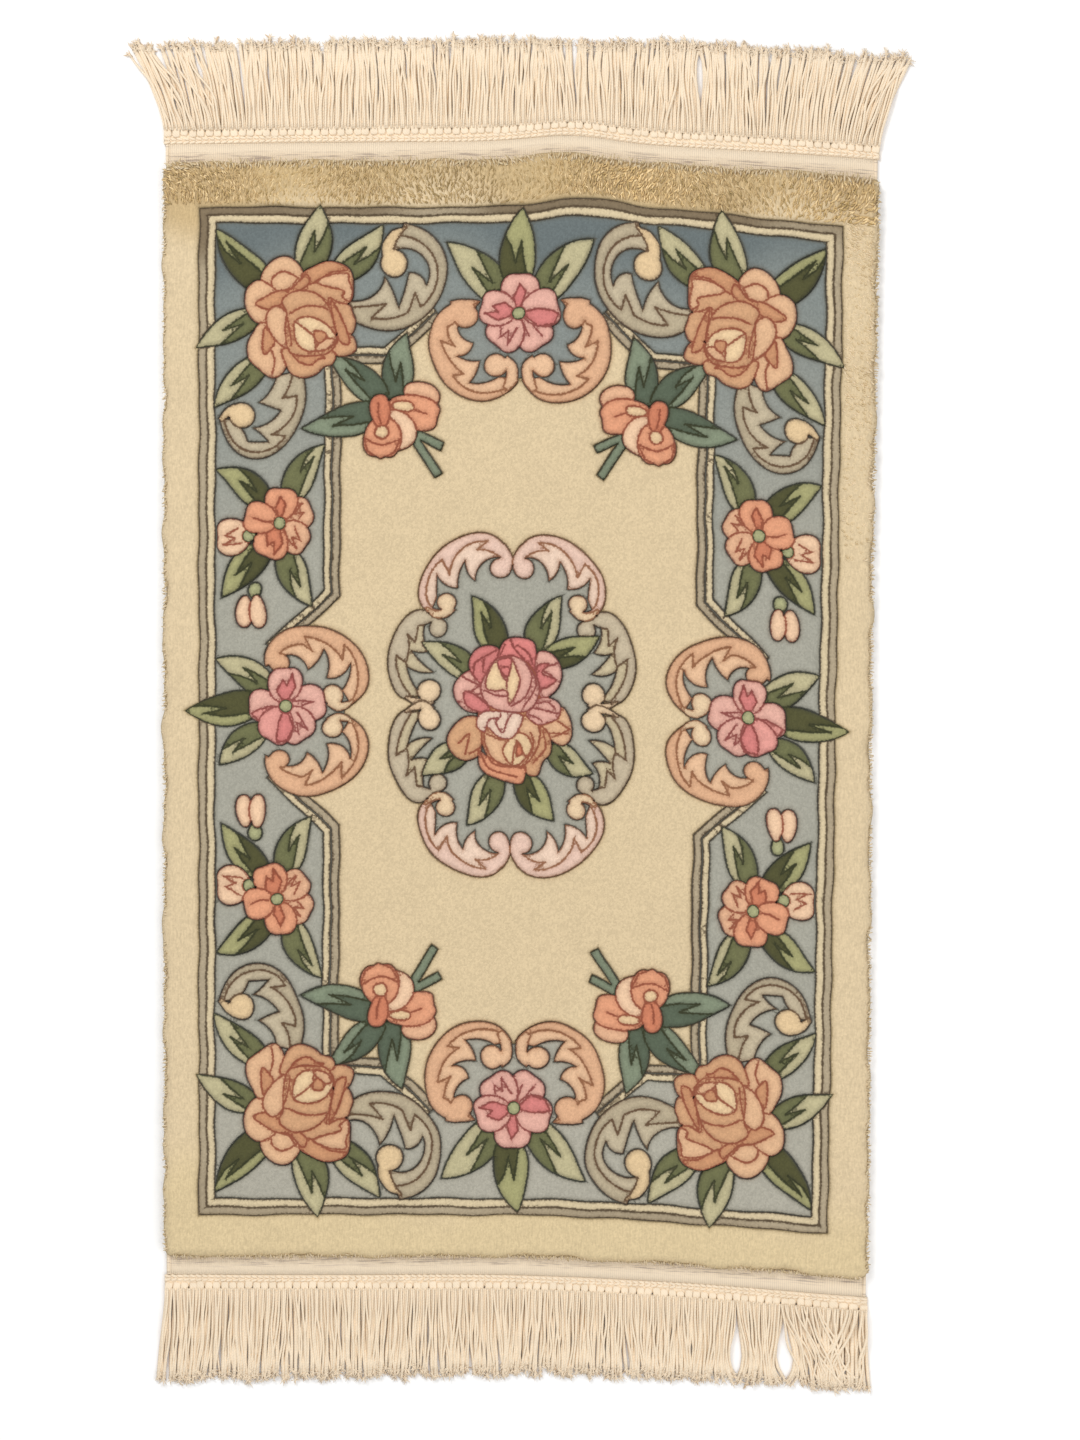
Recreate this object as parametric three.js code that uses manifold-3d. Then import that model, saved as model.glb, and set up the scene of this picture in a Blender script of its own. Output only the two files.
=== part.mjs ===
// A small hand-knotted wool rug with a carved floral pile and knotted cotton fringes, lying on the floor.
// All sizes are in millimetres. X runs across the rug, Y along it towards the far end, Z up from the floor.
// The pattern is laid out on an even drawing, and laid() then shifts every point to where the cloth lies.
import * as THREE from "three";
import { mergeVertices } from "three/addons/utils/BufferGeometryUtils.js";
import Module from "manifold-3d";

const wasm = await Module();
wasm.setup();

// Driving sizes. Tops are heights above the floor.
const pile = { halfWidth: 306.5, halfLength: 473, cornerCut: 8, shoulder: 2.4 };
const foundation = { halfWidth: 304.5, bandLength: 15.5 };
const frame = { halfWidth: 276, halfLength: 436, ribWidth: 7, groove: 1.2 };
const field = { halfWidth: 160.5, halfLength: 308 };
const fringe = { knots: 87, seam: 0.3, stripLength: 14, stripTop: 3, drift: 4 };
const knot = { width: 6.6, height: 5, back: 5.5 };
const lock = { sides: 3, neck: 3, width: 5.4, height: 3.2, tipWidth: 4.8, tipHeight: 2.2 };
const tops = {
  foundation: 3,
  ground: 10,
  border: 12.4,
  outerRib: 12,
  innerRib: 11.6,
  fieldRib: 11.4,
  leaf: 12.8,
  scroll: 12.6,
  volute: 13,
  flower: 13.4,
  rose: 13.6,
  whorl: 14.4,
};
const medallion = { x: -5, y: 5 };
// Spacing of the points along straight edges, and how far a needless point may be from its edge.
const END_STEP = 17;
const SIDE_STEP = 51;
const FRAME_STEP = 58;
const SMOOTHING = 0.3;
const WAVE = 17;
const FULL_TURN = Math.PI * 2;

// How the cloth lies: its right side slips towards the near end and draws in there, and its far end ripples.
const slip = { most: 17.3, from: -17, over: 298, power: 1.5 };
const draw = { left: -1.5, right: -2.5, rightGain: 7 };
const ripple = { height: 9.5, x: 50, spread: 45, fade: 60 };

function laid(x, y) {
  const across = (x + frame.halfWidth) / (2 * frame.halfWidth);
  const drawn = THREE.MathUtils.lerp(draw.left, draw.right + (draw.rightGain * y) / frame.halfLength, across);
  const slipped = slip.most * Math.max(0, (x - slip.from) / slip.over) ** slip.power;
  const reach = Math.exp(-Math.max(0, pile.halfLength - y) / ripple.fade);
  const lifted = ripple.height * reach * Math.exp(-(((x - ripple.x) / ripple.spread) ** 2));
  return new THREE.Vector2(x + drawn, y - slipped + lifted);
}

// A closed geometry becomes a solid that can be joined.
function solidOf(geometry) {
  for (const name of Object.keys(geometry.attributes)) {
    if (name !== "position") geometry.deleteAttribute(name);
  }
  const merged = mergeVertices(geometry, 1e-3);
  const vertProperties = new Float32Array(merged.attributes.position.array);
  const triVerts = new Uint32Array(merged.index.array);
  return new wasm.Manifold(new wasm.Mesh({ numProp: 3, vertProperties, triVerts }));
}

function geometryOf(solid) {
  const { vertProperties, triVerts } = solid.getMesh();
  const geometry = new THREE.BufferGeometry();
  geometry.setAttribute("position", new THREE.BufferAttribute(new Float32Array(vertProperties), 3));
  geometry.setIndex(new THREE.BufferAttribute(new Uint32Array(triVerts), 1));
  const flat = geometry.toNonIndexed();
  flat.computeVertexNormals();
  return flat;
}

// A plate with an outline drawn on the even pattern, from one height to another.
function plate(outline, low, high, hole) {
  const shape = new THREE.Shape(outline.map(([x, y]) => laid(x, y)));
  if (hole) shape.holes.push(new THREE.Path(hole.map(([x, y]) => laid(x, y))));
  const body = new THREE.ExtrudeGeometry(shape, { depth: high - low, bevelEnabled: false, steps: 1 });
  return solidOf(body.translate(0, 0, low));
}

// Points along straight edges, close enough together to follow the ripple.
function stepped(corners, spacing) {
  return corners.flatMap(([x, y], i) => {
    const [nextX, nextY] = corners[(i + 1) % corners.length];
    const leg = [nextX - x, nextY - y];
    const count = Math.max(1, Math.round(Math.hypot(...leg) / spacing));
    return Array.from({ length: count }, (_, k) => [x + (leg[0] * k) / count, y + (leg[1] * k) / count]);
  });
}

function rectangle(halfWidth, halfLength, spacing) {
  const corners = [
    [-halfWidth, -halfLength],
    [halfWidth, -halfLength],
    [halfWidth, halfLength],
    [-halfWidth, halfLength],
  ];
  return stepped(corners, spacing);
}

// X places shared by the cloth's end and the fringe's heading, so that both edges run alike.
function acrossPlaces(halfWidth) {
  const inner = Math.floor((halfWidth - 2) / END_STEP);
  const middle = Array.from({ length: 2 * inner + 1 }, (_, i) => (i - inner) * END_STEP);
  return [-halfWidth, ...middle, halfWidth];
}

function band(halfWidth, nearY, farY) {
  const places = acrossPlaces(halfWidth);
  return [...places.map((x) => [x, nearY]), ...places.reverse().map((x) => [x, farY])];
}

// A leaf: pointed at its tip, fullest before its middle, and bent to one side.
function leafOutline({ baseX, baseY, tipX, tipY, width, bend }) {
  const axis = new THREE.Vector2(tipX - baseX, tipY - baseY);
  const side = new THREE.Vector2(-axis.y, axis.x).normalize();
  const stations = [0.18, 0.42, 0.7];
  const point = (along, out) => [
    baseX + axis.x * along + side.x * (out + bend * along * along),
    baseY + axis.y * along + side.y * (out + bend * along * along),
  ];
  const half = (along) => (width / 2) * Math.sin(Math.PI * along ** 0.72) ** 0.85;
  const right = stations.map((a) => point(a, -half(a)));
  const left = stations.map((a) => point(a, half(a))).reverse();
  return [point(0, 0), ...right, point(1, 0), ...left];
}

// A bloom: a round outline with even lobes.
function lobedOutline({ x, y, radius, lobes, depth, turn }, points) {
  return Array.from({ length: points }, (_, i) => {
    const angle = (FULL_TURN * i) / points;
    const lobe = Math.abs(Math.cos(((angle - turn) * lobes) / 2));
    const r = radius * (1 - depth + depth * lobe);
    return [x + r * Math.cos(angle), y + r * Math.sin(angle)];
  });
}

// A C-scroll: a band round an ellipse, with leaf teeth along its inside.
function scrollOutline({ x, y, rx, ry, from, to, width, teeth }) {
  const at = (degrees, inset) => {
    const angle = THREE.MathUtils.degToRad(degrees);
    return [x + (rx - inset) * Math.cos(angle), y + (ry - inset) * Math.sin(angle)];
  };
  const outerSteps = 9;
  const taper = (share) => 0.55 + 0.45 * Math.sin(Math.PI * share);
  const outer = Array.from({ length: outerSteps + 1 }, (_, i) => {
    return at(THREE.MathUtils.lerp(from, to, i / outerSteps), 0);
  });
  const inner = Array.from({ length: 2 * teeth + 1 }, (_, i) => {
    const share = i / (2 * teeth);
    const depth = width * taper(share) * (i % 2 ? 1.35 : 0.7);
    return at(to - (to - from) * share, depth);
  });
  const outline = [...outer, ...inner];
  return to > from ? outline : outline.reverse();
}

function disc({ x, y, radius }) {
  return lobedOutline({ x, y, radius, lobes: 1, depth: 0, turn: 0 }, 7);
}

// Motifs of one quarter of the border, which the other three quarters mirror.
const quarterLeaves = [
  { baseX: -217, baseY: 368, tipX: -264, tipY: 415, width: 26, bend: 5 },
  { baseX: -182, baseY: 382, tipX: -171, tipY: 434, width: 30, bend: -3 },
  { baseX: -155, baseY: 376, tipX: -119, tipY: 418, width: 26, bend: 5 },
  { baseX: -226, baseY: 342, tipX: -278, tipY: 318, width: 24, bend: -4 },
  { baseX: -222, baseY: 300, tipX: -264, tipY: 266, width: 24, bend: 4 },
  { baseX: -107, baseY: 272, tipX: -99, tipY: 328, width: 27, bend: 3 },
  { baseX: -122, baseY: 272, tipX: -160, tipY: 308, width: 26, bend: -4 },
  { baseX: -124, baseY: 258, tipX: -186, tipY: 242, width: 27, bend: 5 },
  { baseX: -217, baseY: 180, tipX: -262, tipY: 208, width: 24, bend: -4 },
  { baseX: -194, baseY: 186, tipX: -168, tipY: 234, width: 25, bend: 4 },
  { baseX: -222, baseY: 138, tipX: -258, tipY: 101, width: 25, bend: 4 },
  { baseX: -202, baseY: 137, tipX: -182, tipY: 91, width: 24, bend: -4 },
  { baseX: -16, baseY: 362, tipX: -62, tipY: 405, width: 25, bend: -4 },
  { baseX: -217, baseY: 20, tipX: -261, tipY: 47, width: 25, bend: 4 },
];
const endLeaf = { baseX: 0, baseY: 374, tipX: 0, tipY: 433, width: 31, bend: 0 };
const flankLeaf = { baseX: -228, baseY: 1, tipX: -287, tipY: -1, width: 29, bend: 0 };
const quarterScrolls = [
  { x: -103, y: 374, rx: 41, ry: 44, from: -125, to: 120, width: 15, teeth: 5 },
  { x: -220, y: 260, rx: 36, ry: 40, from: 30, to: -200, width: 14, teeth: 5 },
  { x: -44, y: 313, rx: 42, ry: 45, from: 75, to: 300, width: 15, teeth: 5 },
  { x: -178, y: 40, rx: 44, ry: 38, from: 178, to: -62, width: 15, teeth: 5 },
];
const quarterVolutes = [
  { x: -109, y: 378, radius: 12 },
  { x: -239, y: 257, radius: 11 },
  { x: -47, y: 344, radius: 10 },
  { x: -21, y: 299, radius: 8.5 },
  { x: -210, y: 34, radius: 10 },
  { x: -161, y: 16, radius: 8.5 },
];
const quarterBlooms = [{ x: -208, y: 162, radius: 30, lobes: 5, depth: 0.2, turn: 1.6, points: 20 }];
const endBloom = { x: 0, y: 343, radius: 35, lobes: 5, depth: 0.2, turn: 1.57, points: 20 };
const flankBloom = { x: -200, y: 2, radius: 34, lobes: 5, depth: 0.2, turn: 2.8, points: 20 };
const quarterBuds = [
  { x: -247, y: 150, radius: 15, lobes: 2, depth: 0.2, turn: 0, points: 10 },
  { x: -231, y: 87, radius: 14, lobes: 2, depth: 0.25, turn: 1.57, points: 10 },
  { x: -92, y: 262, radius: 23, lobes: 3, depth: 0.2, turn: 0.3, points: 14 },
  { x: -110, y: 240, radius: 19, lobes: 3, depth: 0.2, turn: -1.2, points: 12 },
];
const quarterRose = { x: -188, y: 339, radius: 51, lobes: 9, depth: 0.1, turn: 0.2 };
const stem = { width: 7.5, root: [-94, 244], forks: [[-66, 229], [-72, 204]] };

// Motifs of one quarter of the medallion, measured from its middle.
const medallionLeaves = [
  { baseX: 14, baseY: 50, tipX: 37, tipY: 96, width: 27, bend: -4 },
  { baseX: 38, baseY: 26, tipX: 80, tipY: 56, width: 24, bend: 4 },
];
const medallionScrolls = [
  { x: 42, y: 112, rx: 42, ry: 38, from: 150, to: -75, width: 14, teeth: 5 },
  { x: 84, y: 46, rx: 29, ry: 43, from: 105, to: -95, width: 13, teeth: 4 },
];
const medallionVolutes = [
  { x: 13, y: 117, radius: 9.5 },
  { x: 64, y: 83, radius: 9.5 },
  { x: 68, y: 67, radius: 8 },
  { x: 72, y: 13, radius: 10 },
];
const medallionRoses = [
  { x: -2, y: 20, radius: 45, lobes: 7, depth: 0.1, turn: 0.4 },
  { x: 2, y: -36, radius: 41, lobes: 7, depth: 0.12, turn: 1.1 },
];

function mirrored(row, signX, signY, centre = { x: 0, y: 0 }) {
  const copy = { ...row };
  for (const key of ["x", "baseX", "tipX"]) {
    if (key in row) copy[key] = centre.x + signX * row[key];
  }
  for (const key of ["y", "baseY", "tipY"]) {
    if (key in row) copy[key] = centre.y + signY * row[key];
  }
  if ("bend" in row) copy.bend = row.bend * signX * signY;
  if ("turn" in row) copy.turn = (signX < 0 ? Math.PI - row.turn : row.turn) * signY;
  if ("from" in row) {
    const flip = (degrees) => (signX < 0 ? 180 - degrees : degrees) * signY;
    copy.from = flip(row.from);
    copy.to = flip(row.to);
  }
  return copy;
}

const quarters = [
  [1, 1],
  [-1, 1],
  [1, -1],
  [-1, -1],
];

function inQuarters(rows, build, centre) {
  return rows.flatMap((row) => quarters.map(([signX, signY]) => build(mirrored(row, signX, signY, centre))));
}

const base = tops.foundation - 1;
const leaf = (row) => plate(leafOutline(row), base, tops.leaf);
const scroll = (row) => plate(scrollOutline(row), base, tops.scroll);
const volute = (row) => plate(disc(row), base, tops.volute);
const bloom = (row) => plate(lobedOutline(row, row.points), base, tops.flower);

// A rose: an outer ring of lobed petals, with a raised inner whorl.
function rose(row) {
  const whorl = { ...row, radius: row.radius * 0.6, lobes: 5, depth: 0.12 };
  const petals = plate(lobedOutline(row, 27), base, tops.rose);
  return petals.add(plate(lobedOutline(whorl, 15), base, tops.whorl));
}

// The two raised ribs of the outer frame, one inside the other with a carved groove between.
function outerFrame() {
  const rib = (inset, high) => {
    const inner = inset + frame.ribWidth;
    const outline = rectangle(frame.halfWidth - inset, frame.halfLength - inset, FRAME_STEP);
    const hole = rectangle(frame.halfWidth - inner, frame.halfLength - inner, FRAME_STEP);
    return plate(outline, base, high, hole);
  };
  return [rib(0, tops.outerRib), rib(frame.ribWidth + frame.groove, tops.innerRib)];
}

// A rib along an open line, made of its two offset edges, which meet in a mitre at each bend.
function rib(line, width, high) {
  const points = line.map(([x, y]) => new THREE.Vector2(x, y));
  const legs = points.slice(1).map((point, i) => point.clone().sub(points[i]).normalize());
  const edge = (offset) =>
    points.map((point, i) => {
      const before = legs[Math.max(0, i - 1)];
      const after = legs[Math.min(legs.length - 1, i)];
      const along = before.clone().add(after).normalize();
      const reach = offset / along.dot(after);
      return [point.x - along.y * reach, point.y + along.x * reach];
    });
  return plate([...edge(-width / 2), ...edge(width / 2).reverse()], base, high);
}

// The inner frame turns round each corner of the cream field, and both its ends run in under the scrolls.
// A row is one bend, and pushX and pushY say which way it moves for the outer rib of the two.
const innerFrameBends = [
  { x: -214, y: 60, pushX: -0.5, pushY: 1 },
  { x: -field.halfWidth, y: 96, pushX: -1, pushY: 0.5 },
  { x: -field.halfWidth, y: field.halfLength, pushX: -1, pushY: 1 },
  { x: -114, y: field.halfLength, pushX: 0.4, pushY: 1 },
  { x: -66, y: 352, pushX: 0.5, pushY: 1 },
];

function innerFrame(signX, signY) {
  return [0, frame.ribWidth + frame.groove].map((out) => {
    const bend = ({ x, y, pushX, pushY }) => [(x + pushX * out) * signX, (y + pushY * out) * signY];
    return rib(innerFrameBends.map(bend), frame.ribWidth, tops.fieldRib);
  });
}

function forkedStem(signX, signY) {
  return stem.forks.map((tip) =>
    rib([stem.root, tip].map(([x, y]) => [x * signX, y * signY]), stem.width, tops.scroll),
  );
}

// The rug's corners in order round the outline, and whether each is reached along a side or along an end.
const quarterTurns = [
  { signX: -1, signY: -1, sideFirst: true },
  { signX: 1, signY: -1, sideFirst: false },
  { signX: 1, signY: 1, sideFirst: true },
  { signX: -1, signY: 1, sideFirst: false },
];

// The edge of the pile, a rectangle with its corners cut, drawn in from the true edge by an inset.
function pileEdge(inset) {
  const w = pile.halfWidth - inset;
  const l = pile.halfLength - inset;
  const cut = pile.cornerCut;
  const corners = quarterTurns.flatMap(({ signX, signY, sideFirst }) => {
    const onSide = [signX * w, signY * (l - cut)];
    const onEnd = [signX * (w - cut), signY * l];
    return sideFirst ? [onSide, onEnd] : [onEnd, onSide];
  });
  return stepped(corners, SIDE_STEP);
}

function rugBody() {
  const end = pile.halfLength + foundation.bandLength;
  const insideBorder = rectangle(frame.halfWidth + frame.groove, frame.halfLength + frame.groove, FRAME_STEP);
  const pieces = [
    plate(band(foundation.halfWidth, -end, end), 0, tops.foundation),
    plate(pileEdge(0), 0, tops.ground),
    plate(pileEdge(pile.shoulder), base, tops.border, insideBorder),
    ...outerFrame(),
    ...quarters.flatMap(([signX, signY]) => innerFrame(signX, signY)),
    ...quarters.flatMap(([signX, signY]) => forkedStem(signX, signY)),
    ...inQuarters(quarterLeaves, leaf),
    ...[1, -1].map((sign) => leaf(mirrored(endLeaf, 1, sign))),
    ...[1, -1].map((sign) => leaf(mirrored(flankLeaf, sign, 1))),
    ...inQuarters(quarterScrolls, scroll),
    ...inQuarters(quarterVolutes, volute),
    ...inQuarters(quarterBlooms, bloom),
    ...inQuarters(quarterBuds, bloom),
    ...inQuarters([quarterRose], rose),
    ...[1, -1].map((sign) => bloom(mirrored(endBloom, 1, sign))),
    ...[1, -1].map((sign) => bloom(mirrored(flankBloom, sign, 1))),
    ...inQuarters(medallionLeaves, leaf, medallion),
    ...inQuarters(medallionScrolls, scroll, medallion),
    ...inQuarters(medallionVolutes, volute, medallion),
    ...medallionRoses.map((row) => rose(mirrored(row, 1, 1, medallion))),
  ];
  return wasm.Manifold.union(pieces).simplify(SMOOTHING);
}

// A knotted lock of warp ends: its sections run from the back of the knot to the cut tips, flat on the floor.
function lockGeometry(sections) {
  const corners = sections.flatMap(({ x, y, width, height }) => [
    [x - width / 2, y, 0],
    [x + width / 2, y, 0],
    [x, y, height],
  ]);
  const faces = [0, 1, 2];
  for (let ring = 0; ring < sections.length - 1; ring += 1) {
    for (let side = 0; side < lock.sides; side += 1) {
      const a = ring * lock.sides + side;
      const b = ring * lock.sides + ((side + 1) % lock.sides);
      faces.push(a, b + lock.sides, b, a, a + lock.sides, b + lock.sides);
    }
  }
  const last = (sections.length - 1) * lock.sides;
  faces.push(last, last + 2, last + 1);
  const geometry = new THREE.BufferGeometry();
  geometry.setAttribute("position", new THREE.Float32BufferAttribute(corners.flat(), 3));
  geometry.setIndex(faces);
  return geometry;
}

// How far a lock's tip lies to the side: the corner locks fan out, and the rest drift a little.
const ends = [
  {
    name: "fringe_far",
    side: 1,
    sway: { left: -31, leftOver: 42, right: 31, rightOver: 48, drift: 1.6 },
    length: { left: 78, right: 86 },
  },
  {
    name: "fringe_near",
    side: -1,
    sway: { left: -12, leftOver: 30, right: 9, rightOver: 40, drift: 1.9 },
    length: { left: 78, right: 68 },
  },
];

function swayAt(x, sway) {
  const left = sway.left * Math.exp(-(x + pile.halfWidth) / sway.leftOver);
  const right = sway.right * Math.exp(-(pile.halfWidth - x) / sway.rightOver);
  return left + right + sway.drift * Math.sin(x / WAVE + sway.left);
}

// A fringe: a narrow heading strip parted from the cloth's end, with one lock on each knot.
function fringeSolid({ side, sway, length }) {
  const start = pile.halfLength + foundation.bandLength + fringe.seam;
  const front = start + fringe.stripLength;
  const strip = plate(band(pile.halfWidth, start, front).map(([x, y]) => [x, y * side]), 0, fringe.stripTop);
  const pitch = (2 * pile.halfWidth) / fringe.knots;
  const locks = Array.from({ length: fringe.knots }, (_, i) => {
    const x = -pile.halfWidth + pitch * (i + 0.5);
    const uneven = fringe.drift * (0.6 * Math.sin(i * 1.7) + 0.4 * Math.sin(i * 0.43));
    const tip = THREE.MathUtils.lerp(length.left, length.right, (i + 0.5) / fringe.knots) + uneven;
    const section = (y, share, width, height) => {
      const at = laid(x, y * side);
      return { x: at.x + swayAt(x, sway) * share, y: at.y, width, height };
    };
    const sections = [
      section(start + knot.back, 0, knot.width, knot.height),
      section(front + lock.neck, 0, lock.width, lock.height),
      section(front + tip, 1, lock.tipWidth, lock.tipHeight),
    ];
    return solidOf(lockGeometry(side > 0 ? sections : sections.reverse()));
  });
  return wasm.Manifold.union([strip, ...locks]).simplify(SMOOTHING);
}

const wool = new THREE.MeshStandardMaterial({ color: 0xdac6a0, roughness: 0.95, metalness: 0 });
const cotton = new THREE.MeshStandardMaterial({ color: 0xe6d2b4, roughness: 0.9, metalness: 0 });

function piece(name, solid, material) {
  const mesh = new THREE.Mesh(geometryOf(solid), material);
  mesh.name = name;
  return mesh;
}

const rug = new THREE.Group();
rug.add(
  piece("carved_rug", rugBody(), wool),
  ...ends.map((end) => piece(end.name, fringeSolid(end), cotton)),
);

// The origin is the middle of the whole rug, fringes and all, on the floor.
const middle = new THREE.Box3().setFromObject(rug).getCenter(new THREE.Vector3());
rug.position.set(-middle.x, -middle.y, 0);

export default rug;
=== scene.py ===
"""Looks of a small hand-knotted wool rug: a carved floral pile on a woven cloth, with knotted fringes.

The pattern is drawn on an even sheet in millimetres, its middle at (0, 0), X across and Y to the far end.
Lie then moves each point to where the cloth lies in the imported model's frame, in metres.
"""

import logging
import math
from dataclasses import dataclass, replace
from enum import Enum
from typing import Iterable, Sequence

import bpy
import numpy as np
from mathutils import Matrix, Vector
from mathutils.bvhtree import BVHTree
from mathutils.geometry import delaunay_2d_cdt
from mathutils.kdtree import KDTree


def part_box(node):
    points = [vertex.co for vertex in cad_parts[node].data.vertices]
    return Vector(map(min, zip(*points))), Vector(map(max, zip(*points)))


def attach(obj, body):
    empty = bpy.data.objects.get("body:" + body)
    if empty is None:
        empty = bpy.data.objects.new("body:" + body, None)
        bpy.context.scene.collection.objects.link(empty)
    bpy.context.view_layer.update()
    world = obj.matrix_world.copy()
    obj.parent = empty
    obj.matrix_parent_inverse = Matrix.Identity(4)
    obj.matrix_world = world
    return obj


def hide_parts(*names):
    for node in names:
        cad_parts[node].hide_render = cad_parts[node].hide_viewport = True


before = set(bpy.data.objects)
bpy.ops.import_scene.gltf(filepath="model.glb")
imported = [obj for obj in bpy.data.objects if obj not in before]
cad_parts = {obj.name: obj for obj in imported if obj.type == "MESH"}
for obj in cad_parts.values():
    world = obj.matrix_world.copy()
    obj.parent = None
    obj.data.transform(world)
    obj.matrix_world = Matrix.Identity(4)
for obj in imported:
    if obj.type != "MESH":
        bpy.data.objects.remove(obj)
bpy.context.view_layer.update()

LOG = logging.getLogger("rug")
MM = 0.001
EDGE_REACH = 6.5  # millimetres over which the pile rounds off at the rug's own edge
ROUNDING = 2.2  # how soon it rises from an edge or a carved line: 1 is a straight slope
Points = np.ndarray
Pair = tuple[float, float]
Triple = tuple[float, float, float]
Piece = bpy.types.Object
Socket = bpy.types.NodeSocket
Random = np.random.Generator


def columns(*parts: Points) -> Points:
    """Returns rows made of some columns."""
    return np.column_stack(parts)


def linear(colour: str) -> tuple[float, float, float, float]:
    """Turns an sRGB hex value to a linear colour.

    Args:
        colour: six hex digits after a hash sign.

    Returns:
        Red, green, blue and alpha, linear.
    """
    parts = [int(colour[i : i + 2], 16) / 255 for i in (1, 3, 5)]
    return (*[p / 12.92 if p <= 0.04045 else ((p + 0.055) / 1.055) ** 2.4 for p in parts], 1.0)


class Yarn(Enum):
    """The dyed wools of the pile, and the painted nap shades that some of them drift to towards the ends."""

    PLUSH = "#D6C19D"
    # painted nap shade: the plush drawn darker at the far end and yellower at the near end, where its nap
    # leans to or from the light
    PLUSH_FAR_NAP_SHADE = "#C4AB80"
    PLUSH_NEAR_NAP_LIGHT = "#D5C097"
    CREAM = "#D4BF9A"
    BLUE = "#A19F92"
    # painted nap shade: the blue drawn darker towards the far end and its far edge, and paler at the near end
    BLUE_FAR_NAP_SHADE = "#7D8481"
    BLUE_EDGE_NAP_SHADE = "#5A6466"
    BLUE_NEAR_NAP_LIGHT = "#A9A597"
    GREY_LINE = "#B4A58A"
    # painted nap shade: the grey line drawn darker towards the ends
    GREY_LINE_FAR_NAP_SHADE = "#83735B"
    CREAM_LINE = "#DDCBA6"
    PALE_LEAF = "#B9B08A"
    GREEN = "#6C6D49"
    OLIVE = "#A19E6F"
    OLIVE_DARK = "#504F2F"
    TEAL = "#7F8972"
    TEAL_DARK = "#56614F"
    CALYX = "#A9A97E"
    PEACH = "#CB9D76"
    PEACH_LIGHT = "#D9AF89"
    PEACH_DEEP = "#C5906A"
    ROSE_HEART = "#E3C59B"
    CORAL = "#DB9A77"
    CORAL_DEEP = "#CB7F60"
    CORAL_LIGHT = "#DDAE8B"
    CORAL_PALE = "#E6C2A0"
    PINK = "#DC988D"
    PINK_LIGHT = "#DDAA9A"
    PINK_DEEP = "#CF7D78"
    PINK_HOT = "#DC857F"
    SCROLL_PEACH = "#D7A985"
    SCROLL_PEACH_LIGHT = "#DFB793"
    SCROLL_GREY = "#B2A489"
    SCROLL_GREY_LIGHT = "#BCAE93"
    SCROLL_PINK = "#DFBEAC"
    SCROLL_PINK_LIGHT = "#E4C8B2"
    SCROLL_SAGE = "#BDAE94"
    SCROLL_SAGE_LIGHT = "#C4B594"
    VOLUTE_CREAM = "#DABE94"
    VOLUTE_PALE = "#DFC4A0"


class Seam(Enum):
    """Painted shade of the carved lines between zones and at the pile's edge: each yarn drawn darker deep in
    the cut, where shade falls.
    """

    GROUND = "#8E7A57"
    PLUSH = "#A8946D"
    LINE = "#524331"
    BLUE = "#5F5E54"
    LEAF = "#33351F"
    PETAL = "#8A4A35"
    PINK = "#83413C"
    SCROLL = "#5E4530"
    SCROLL_PEACH = "#8A5B3E"


class Family(Enum):
    """The pile pieces, by what their zones are."""

    PLUSH = "pile_plush_border"
    LINES = "pile_frame_lines"
    BLUE = "pile_blue_ground"
    CREAM = "pile_cream_field"
    SCROLLS = "pile_scrolls"
    LEAVES = "pile_leaves"
    FLOWERS = "pile_flowers"


TOPS_MM = {
    Family.PLUSH: 12.6,
    Family.LINES: 11.6,
    Family.BLUE: 10.2,
    Family.CREAM: 10.4,
    Family.SCROLLS: 12.6,
    Family.LEAVES: 12.8,
    Family.FLOWERS: 13.6,
}
DOMES_MM = {Family.SCROLLS: 0.8, Family.LEAVES: 0.8, Family.FLOWERS: 1.2, Family.LINES: 0.5}


@dataclass(frozen=True)
class Zone:
    """An area of one yarn in the drawn pattern, painted over the zones before it."""

    outline: Points  # its corners in drawn millimetres
    family: Family  # the pile piece that it belongs to
    yarn: Yarn  # its wool
    seam: Seam  # the shade of the carved line round it
    rise: float = 0.0  # millimetres above its family's usual height
    marks: tuple[Points, ...] = ()  # lines cut inside it, each as rows of drawn x and y
    joined: bool = False  # whether it is one area with the zone before it, with no line between them


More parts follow.
